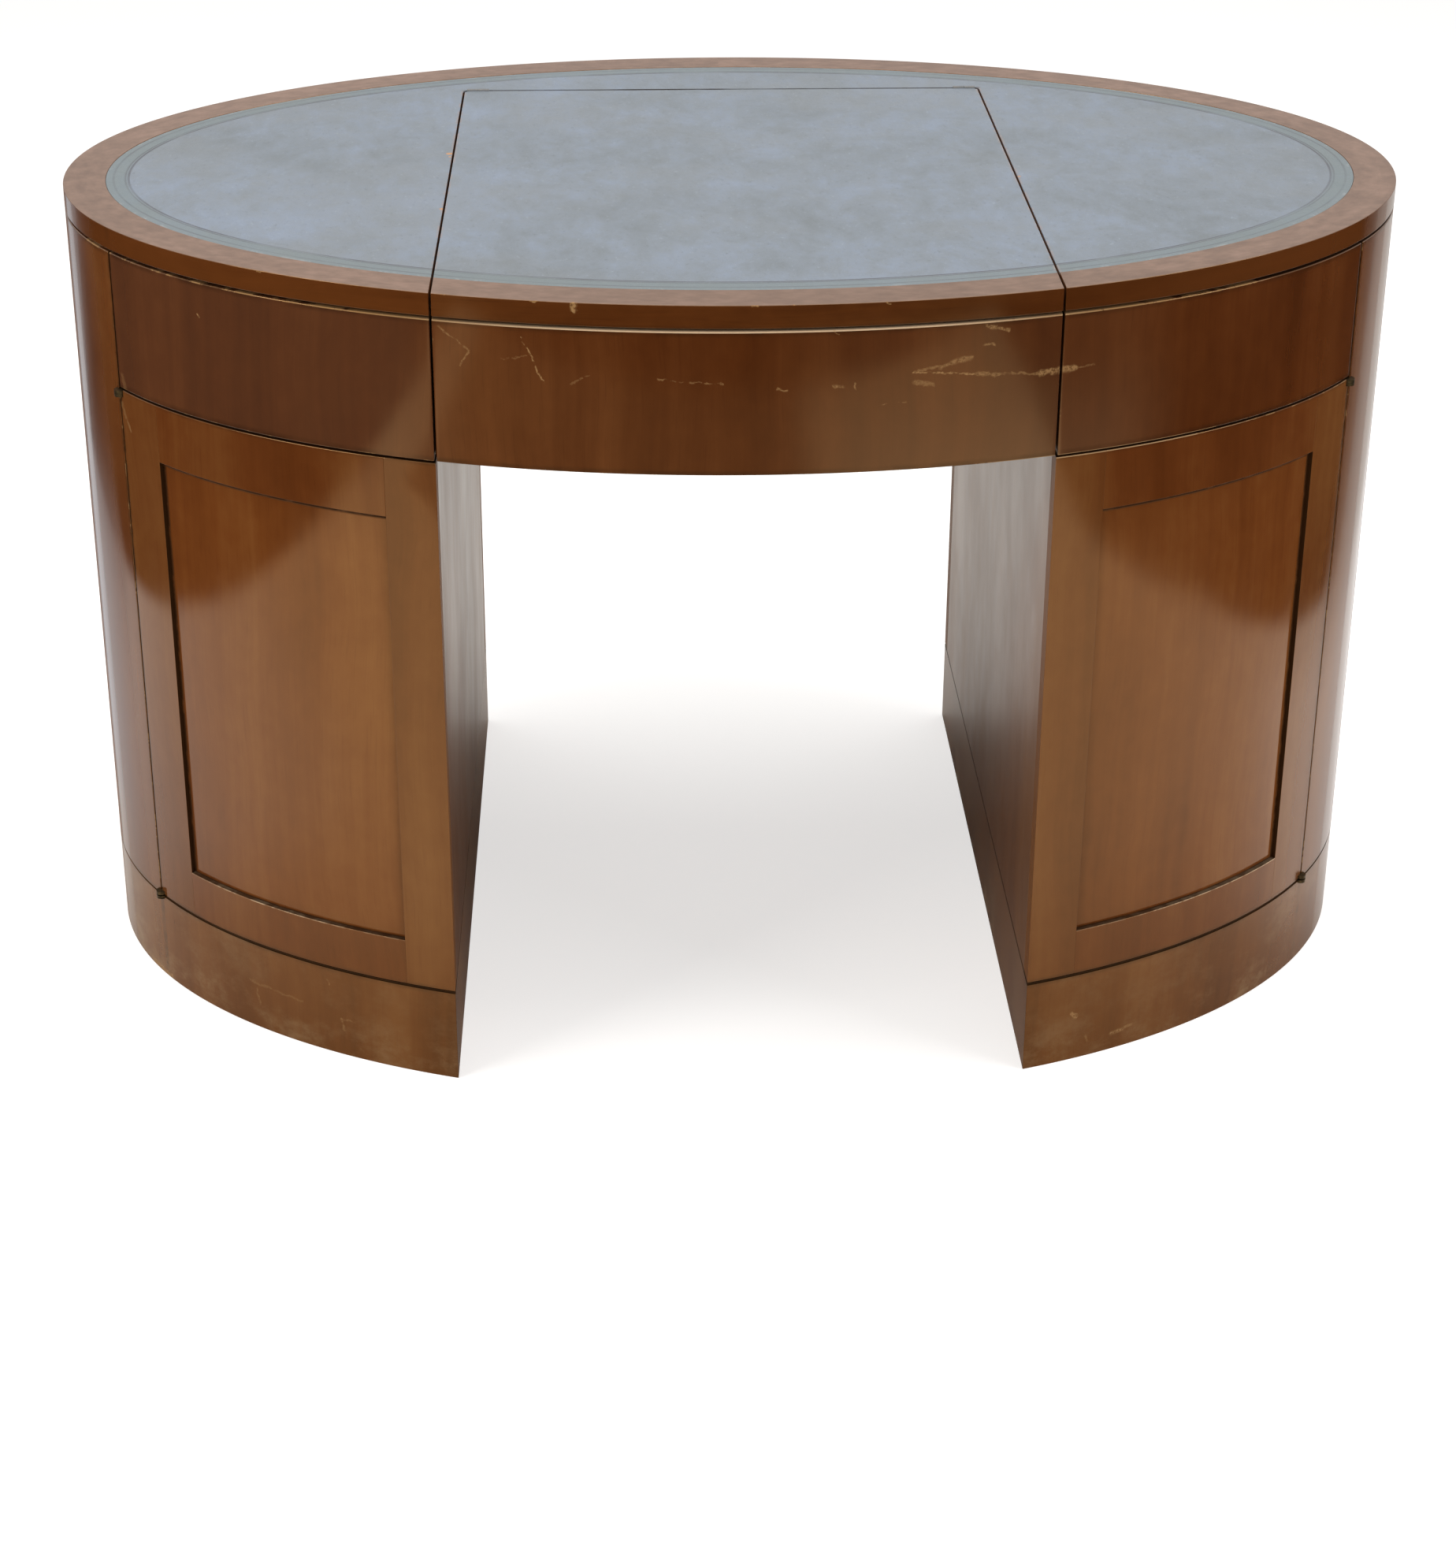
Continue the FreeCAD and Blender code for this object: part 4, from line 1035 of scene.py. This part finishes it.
def plinth_loop():
    """Stations round the D of a plinth: (outer, quirk and inner points), from the front corner."""
    quirk_low = PLINTH_HIGH - QUIRK_HEIGHT
    stations = []

    def station(outer, quirk, inner):
        stations.append([
            (*outer, 0), (*outer, quirk_low), (*quirk, quirk_low),
            (*quirk, PLINTH_HIGH), (*inner, PLINTH_HIGH), (*inner, 0),
        ])

    for step in range(SHELL_STEPS + 1):
        share = step / SHELL_STEPS
        points = []
        for inset, x in ((0, KNEE_INNER), (QUIRK_DEPTH, KNEE_INNER), (WALL, KNEE_OUTER)):
            turn = front_at(x)(inset) * (1 - share) + back_at(x)(inset) * share
            points.append(oval(inset, turn))
        station(*points)
    outer_end, quirk_end, inner_end = points
    for step in range(1, FLAT_STEPS):
        share = 1 - 2 * step / FLAT_STEPS
        inner = (KNEE_OUTER, inner_end.y * share)
        station((KNEE_INNER, outer_end.y * share), (KNEE_INNER, quirk_end.y * share), inner)
    return stations


def make_plinth(name):
    item = sweep(name, plinth_loop(), closed=True)
    round_arrises(item, PLINTH_ARRIS, 2)
    return item


# --- top

def bay_edge(front):
    """Points of the bay's edge from its front right end round to its front left end."""
    side, back = BAY_SIDE - BAY_CORNER, BAY_BACK - BAY_CORNER
    points = [(BAY_SIDE, front + (back - front) * step / BAY_STEPS) for step in range(BAY_STEPS + 1)]
    for step in range(1, CORNER_STEPS + 1):
        turn = pi / 2 * step / CORNER_STEPS
        points.append((side + BAY_CORNER * cos(turn), back + BAY_CORNER * sin(turn)))
    rear = [(side * (1 - 2 * step / BAY_STEPS), BAY_BACK) for step in range(1, BAY_STEPS)]
    return points + rear + [(-x, y) for x, y in reversed(points)]


def leather_front(x):
    return -LEATHER_DEPTH * sqrt(1 - (x / LEATHER_LENGTH) ** 2)


RIM_SECTION = plate(0, RIM_WIDTH, SLAB_LOW, RIM_HIGH)


def make_top_rim():
    right_end = front_at(BAY_SIDE)
    item = wall("top_rim_skin", RIM_SECTION, right_end, mirrored(right_end, pi), RIM_STEPS)
    round_arrises(item, RIM_ARRIS)
    finish_piece(item, RIM_WOOD, "along", wear_rim, "carcass", "top_rim")


def make_lid_rim():
    right_end = front_at(LID_SIDE)
    item = wall("lid_rim_skin", RIM_SECTION, mirrored(right_end, -pi), right_end, WIDE_STEPS)
    round_arrises(item, RIM_ARRIS)
    finish_piece(item, RIM_WOOD, "along", wear_rim, "lid", "lid_rim")


def make_top_leather():
    """Sheet between the bay and the rim, ruled outwards from the bay's edge."""
    rows = 14
    stations = []
    for x, y in bay_edge(leather_front(BAY_SIDE)):
        reach = 1 / hypot(x / LEATHER_LENGTH, y / LEATHER_DEPTH)
        far = Vector((x, y)) * max(reach, 1.0)
        points = [Vector((x, y)).lerp(far, row / rows) for row in range(rows + 1)]
        top = [(*point, LEATHER_HIGH) for point in points]
        stations.append(top + [(*point, LEATHER_LOW) for point in reversed(points)])
    item = sweep("top_leather_skin", stations)
    round_arrises(item, LEATHER_ARRIS, 2)
    finish_piece(item, LEATHER, "flat", wear_none, "carcass", "top_leather")


def make_lid_leather():
    rows = 40
    columns = 110
    stations = []
    for column in range(columns + 1):
        x = LID_SIDE * (2 * column / columns - 1)
        over = max(0.0, abs(x) - (LID_SIDE - LID_CORNER))
        back = LID_BACK - LID_CORNER + sqrt(max(0.0, LID_CORNER**2 - over**2))
        front = leather_front(x)
        levels = [front + (back - front) * row / rows for row in range(rows + 1)]
        top = [(x, y, LEATHER_HIGH) for y in levels]
        stations.append(top + [(x, y, LEATHER_LOW) for y in reversed(levels)])
    item = sweep("lid_leather_skin", stations)
    round_arrises(item, LEATHER_ARRIS, 2)
    finish_piece(item, LEATHER, "flat", wear_none, "lid", "lid_leather")


def dress_frame_nodes():
    """Finishes on the CAD nodes that stay: inner boards by their longest side, and hinges."""
    for name, item in frame["nodes"].items():
        if "hinge_leaves" in name:
            chosen = BRASS if "door" in name or "carcass" in name else SEAM_BRASS
        elif name in ("top_core", "lid_core"):
            chosen = CORE_WOOD
        else:
            low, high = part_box(name)
            size = high - low
            chosen = BOARDS["XYZ"[max(range(3), key=lambda axis: size[axis])]]
        item.data.materials.clear()
        item.data.materials.append(chosen)


def make_desk():
    dress_frame_nodes()
    both(make_plinth, PLINTH_WOOD, "wall", wear_plinth, "carcass", "plinth")
    both(make_shell, SHELL_WOOD, "wall", wear_front, "carcass", "outer_shell")
    both(make_knee_panel, KNEE_WOOD, "flat", wear_none, "carcass", "knee_panel")
    both(make_drawer_front, FRIEZE_WOOD, "wall", wear_front, "{side}_drawer", "drawer_front")
    both(make_stiles, STILE_WOOD, "wall", wear_door, "{side}_door", "door_stiles")
    both(make_rails, RAIL_WOOD, "wall", wear_rail, "{side}_door", "door_rails")
    both(make_panel, PANEL_WOOD, "wall", wear_none, "{side}_door", "door_panel")
    make_centre_front()
    make_apron()
    make_top_rim()
    make_lid_rim()
    make_top_leather()
    make_lid_leather()


# --- studio

FLOOR_HALF = 14.0
# Painted reflection: the pale sheet that the desk stands on, as its gloss mirrors it, with a dark room
# beyond; it widens to the rear.
SHEET_LEFT, SHEET_LEFT_BEND = -1.38, 1.0
SHEET_RIGHT, SHEET_RIGHT_BEND = 1.3, 0.35
SHEET_TAPER, SHEET_TAPER_START, SHEET_TAPER_END = 0.22, -0.6, -1.75  # bay in its right side
SHEET_FRONT = -2.1
SHEET_FLARE = 1.1
SHEET_FADE = 0.04
# A dark patch painted into the reflections, where a sitter would be.
SEAT_LEFT, SEAT_RIGHT, SEAT_FRONT = -1.2, 0.3, -1.35  # dark middle where a sitter would be
# Painted reflection colours: dark room, shaded sheet, bluer left, brightest right.
PAINTED_DARK_ROOM = (0.012, 0.009, 0.008, 1)
SHEET = (0.8, 0.79, 0.77, 1)
SHADED_SHEET = (0.46, 0.44, 0.42, 1)
LEFT_SHEET = (0.74, 0.8, 0.88, 1)
RIGHT_SHEET = (1.0, 1.0, 1.0, 1)
PALE_FLOOR = (0.62, 0.61, 0.6, 1)
FLOOR_GLOW = 0.62


def painted_reflection_mask(x, y):
    """Painted reflection: where a reflection is painted with the pale sheet rather than the dark room."""
    left_edge = weighted(x, (most(y - SHEET_LEFT_BEND, 0.0), SHEET_FLARE))
    left = between(left_edge, SHEET_LEFT - SHEET_FADE, SHEET_LEFT + SHEET_FADE)
    right_edge = weighted(x, (most(y - SHEET_RIGHT_BEND, 0.0), -SHEET_FLARE))
    taper = most(math_of("MINIMUM", SHEET_TAPER_START - y, y - SHEET_TAPER_END), 0.0)
    right_edge = weighted(right_edge, (taper, SHEET_TAPER))
    right = falling(right_edge, SHEET_RIGHT - SHEET_FADE, SHEET_RIGHT + SHEET_FADE)
    front = between(y, SHEET_FRONT - 2 * SHEET_FADE, SHEET_FRONT + SHEET_FADE)
    front = front * between(y, SHEET_TAPER_END, -1.15, 0.68, 1.0)
    seat = between(x, SEAT_LEFT - SHEET_FADE, SEAT_LEFT + SHEET_FADE)
    seat = seat * falling(x, SEAT_RIGHT - 2 * SHEET_FADE, SEAT_RIGHT + 2 * SHEET_FADE)
    seat = seat * falling(y, SEAT_FRONT - SHEET_FADE, SEAT_FRONT)
    return left * right * front * (1.0 - seat * 0.7)


def painted_reflection_color(place, x, y):
    """The sheet as the gloss mirrors it, painted: painted shade near the desk, bluer left, brightest
    right.
    """
    reach = vector_of("LENGTH", vector_of("MULTIPLY", place, (1 / HALF_LENGTH, 1 / HALF_DEPTH, 0)))
    open_floor = most(between(reach, 0.9, 1.9), between(y, -0.35, 0.1)) * between(reach, 0.75, 1.05)
    sheet = mix_color(open_floor, SHADED_SHEET, SHEET)
    near_right = between(x, 0.55, 0.7) * falling(x, 1.05, 1.25) * between(y, -0.35, -0.1)
    sheet = mix_color(near_right, sheet, RIGHT_SHEET)
    return mix_color(between(x, -0.62, -0.85) * between(y, -0.8, -0.5), sheet, LEFT_SHEET)


def either(amount, first, second):
    """One surface where the amount is 0, the other where it is 1."""
    return shader(amount.tree, "MixShader", {0: amount, 1: first, 2: second})


def diffuse(tree, color):
    return shader(tree, "BsdfDiffuse", {"Color": color})


def make_floor():
    """Pale floor. Its reflections are painted: the room beyond the sheet round the desk is painted
    darker, and the sheet is shaded near the desk.
    """
    corners = [(x * FLOOR_HALF, y * FLOOR_HALF, 0) for x, y in ((-1, -1), (1, -1), (1, 1), (-1, 1))]
    item = mesh_object("floor", corners, [(0, 1, 2, 3)])
    look, tree = new_material("floor_sheet")
    place = shader(tree, "NewGeometry", output="Position")
    x, y, _ = parts_of(place)
    glow = shader(tree, "Emission", {"Color": (1, 1, 1, 1), "Strength": FLOOR_GLOW})
    seen = shader(tree, "AddShader", {0: diffuse(tree, PALE_FLOOR), 1: glow})
    sheet = diffuse(tree, painted_reflection_color(place, x, y))
    # Glossy rays see the painted reflection; camera rays see the pale floor.
    reflected = either(painted_reflection_mask(x, y), diffuse(tree, PAINTED_DARK_ROOM), sheet)
    lit = either(shader(tree, "LightPath", output="Is Glossy Ray"), diffuse(tree, SHEET), reflected)
    close(either(shader(tree, "LightPath", output="Is Camera Ray"), lit, seen))
    item.data.materials.append(look)


def make_world():
    world = bpy.data.worlds.new("studio")
    bpy.context.scene.world = world
    world.use_nodes = True
    tree = world.node_tree
    tree.nodes.clear()
    soft, bright, white = [
        shader(tree, "Background", {"Color": color, "Strength": strength})
        for color, strength in (((1.0, 0.99, 0.97, 1), 0.42), ((1, 1, 1, 1), 0.85), ((1, 1, 1, 1), 1.0))]
    glossy = either(shader(tree, "LightPath", output="Is Glossy Ray"), soft, bright)
    close(either(shader(tree, "LightPath", output="Is Camera Ray"), glossy, white), "OutputWorld")


def area_light(name, place, aim, size, watts, color=(1, 1, 1)):
    lamp = bpy.data.lights.new(name, "AREA")
    lamp.shape = "RECTANGLE"
    lamp.size, lamp.size_y = size
    lamp.energy = watts
    lamp.color = color
    item = new_object(name, lamp)
    item.location = place
    item.rotation_euler = (Vector(aim) - Vector(place)).to_track_quat("-Z", "Y").to_euler()


def make_lights():
    area_light("overhead", (0.0, 0.2, 3.2), (0, 0, 0.5), (3.4, 2.6), 78, (1.0, 0.985, 0.96))
    area_light("key", (-3.3, -2.0, 2.3), (0, 0, 0.4), (1.6, 1.6), 72, (1.0, 0.98, 0.95))
    area_light("fill", (3.3, -1.6, 2.1), (0, 0, 0.4), (1.8, 1.8), 58, (0.98, 0.98, 1.0))


# Camera recovered from the desk's own outlines, for an image of 1848 by 1990 pixels.
IMAGE_WIDTH, IMAGE_HEIGHT = 1848, 1990
FOCAL_PIXELS = 3631.35
CENTRE_PIXEL = (891.36, 603.77)
CAMERA_PLACE = (-0.1044, -2.5369, 1.5381)
CAMERA_YAW, CAMERA_PITCH, CAMERA_ROLL = 0.0307, 0.4056, 0.0023
SENSOR = 36.0


def make_camera():
    yaw, pitch, roll = CAMERA_YAW, CAMERA_PITCH, CAMERA_ROLL
    ahead = Vector((sin(yaw) * cos(pitch), cos(yaw) * cos(pitch), -sin(pitch)))
    level = Vector((cos(yaw), -sin(yaw), 0))
    upright = level.cross(ahead)
    right = level * cos(roll) + upright * sin(roll)
    up = right.cross(ahead)
    lens = bpy.data.cameras.new("camera")
    lens.sensor_fit = "VERTICAL"
    lens.sensor_height = SENSOR
    lens.lens = FOCAL_PIXELS * SENSOR / IMAGE_HEIGHT
    lens.shift_x = (IMAGE_WIDTH / 2 - CENTRE_PIXEL[0]) / IMAGE_HEIGHT
    lens.shift_y = (CENTRE_PIXEL[1] - IMAGE_HEIGHT / 2) / IMAGE_HEIGHT
    lens.clip_end = 100
    item = new_object("camera", lens)
    item.matrix_world = Matrix((
        (right.x, up.x, -ahead.x, CAMERA_PLACE[0]),
        (right.y, up.y, -ahead.y, CAMERA_PLACE[1]),
        (right.z, up.z, -ahead.z, CAMERA_PLACE[2]),
        (0, 0, 0, 1),
    ))
    bpy.context.scene.camera = item


make_desk()
make_floor()
make_world()
make_lights()
make_camera()
bpy.context.scene.view_settings.view_transform = "Standard"
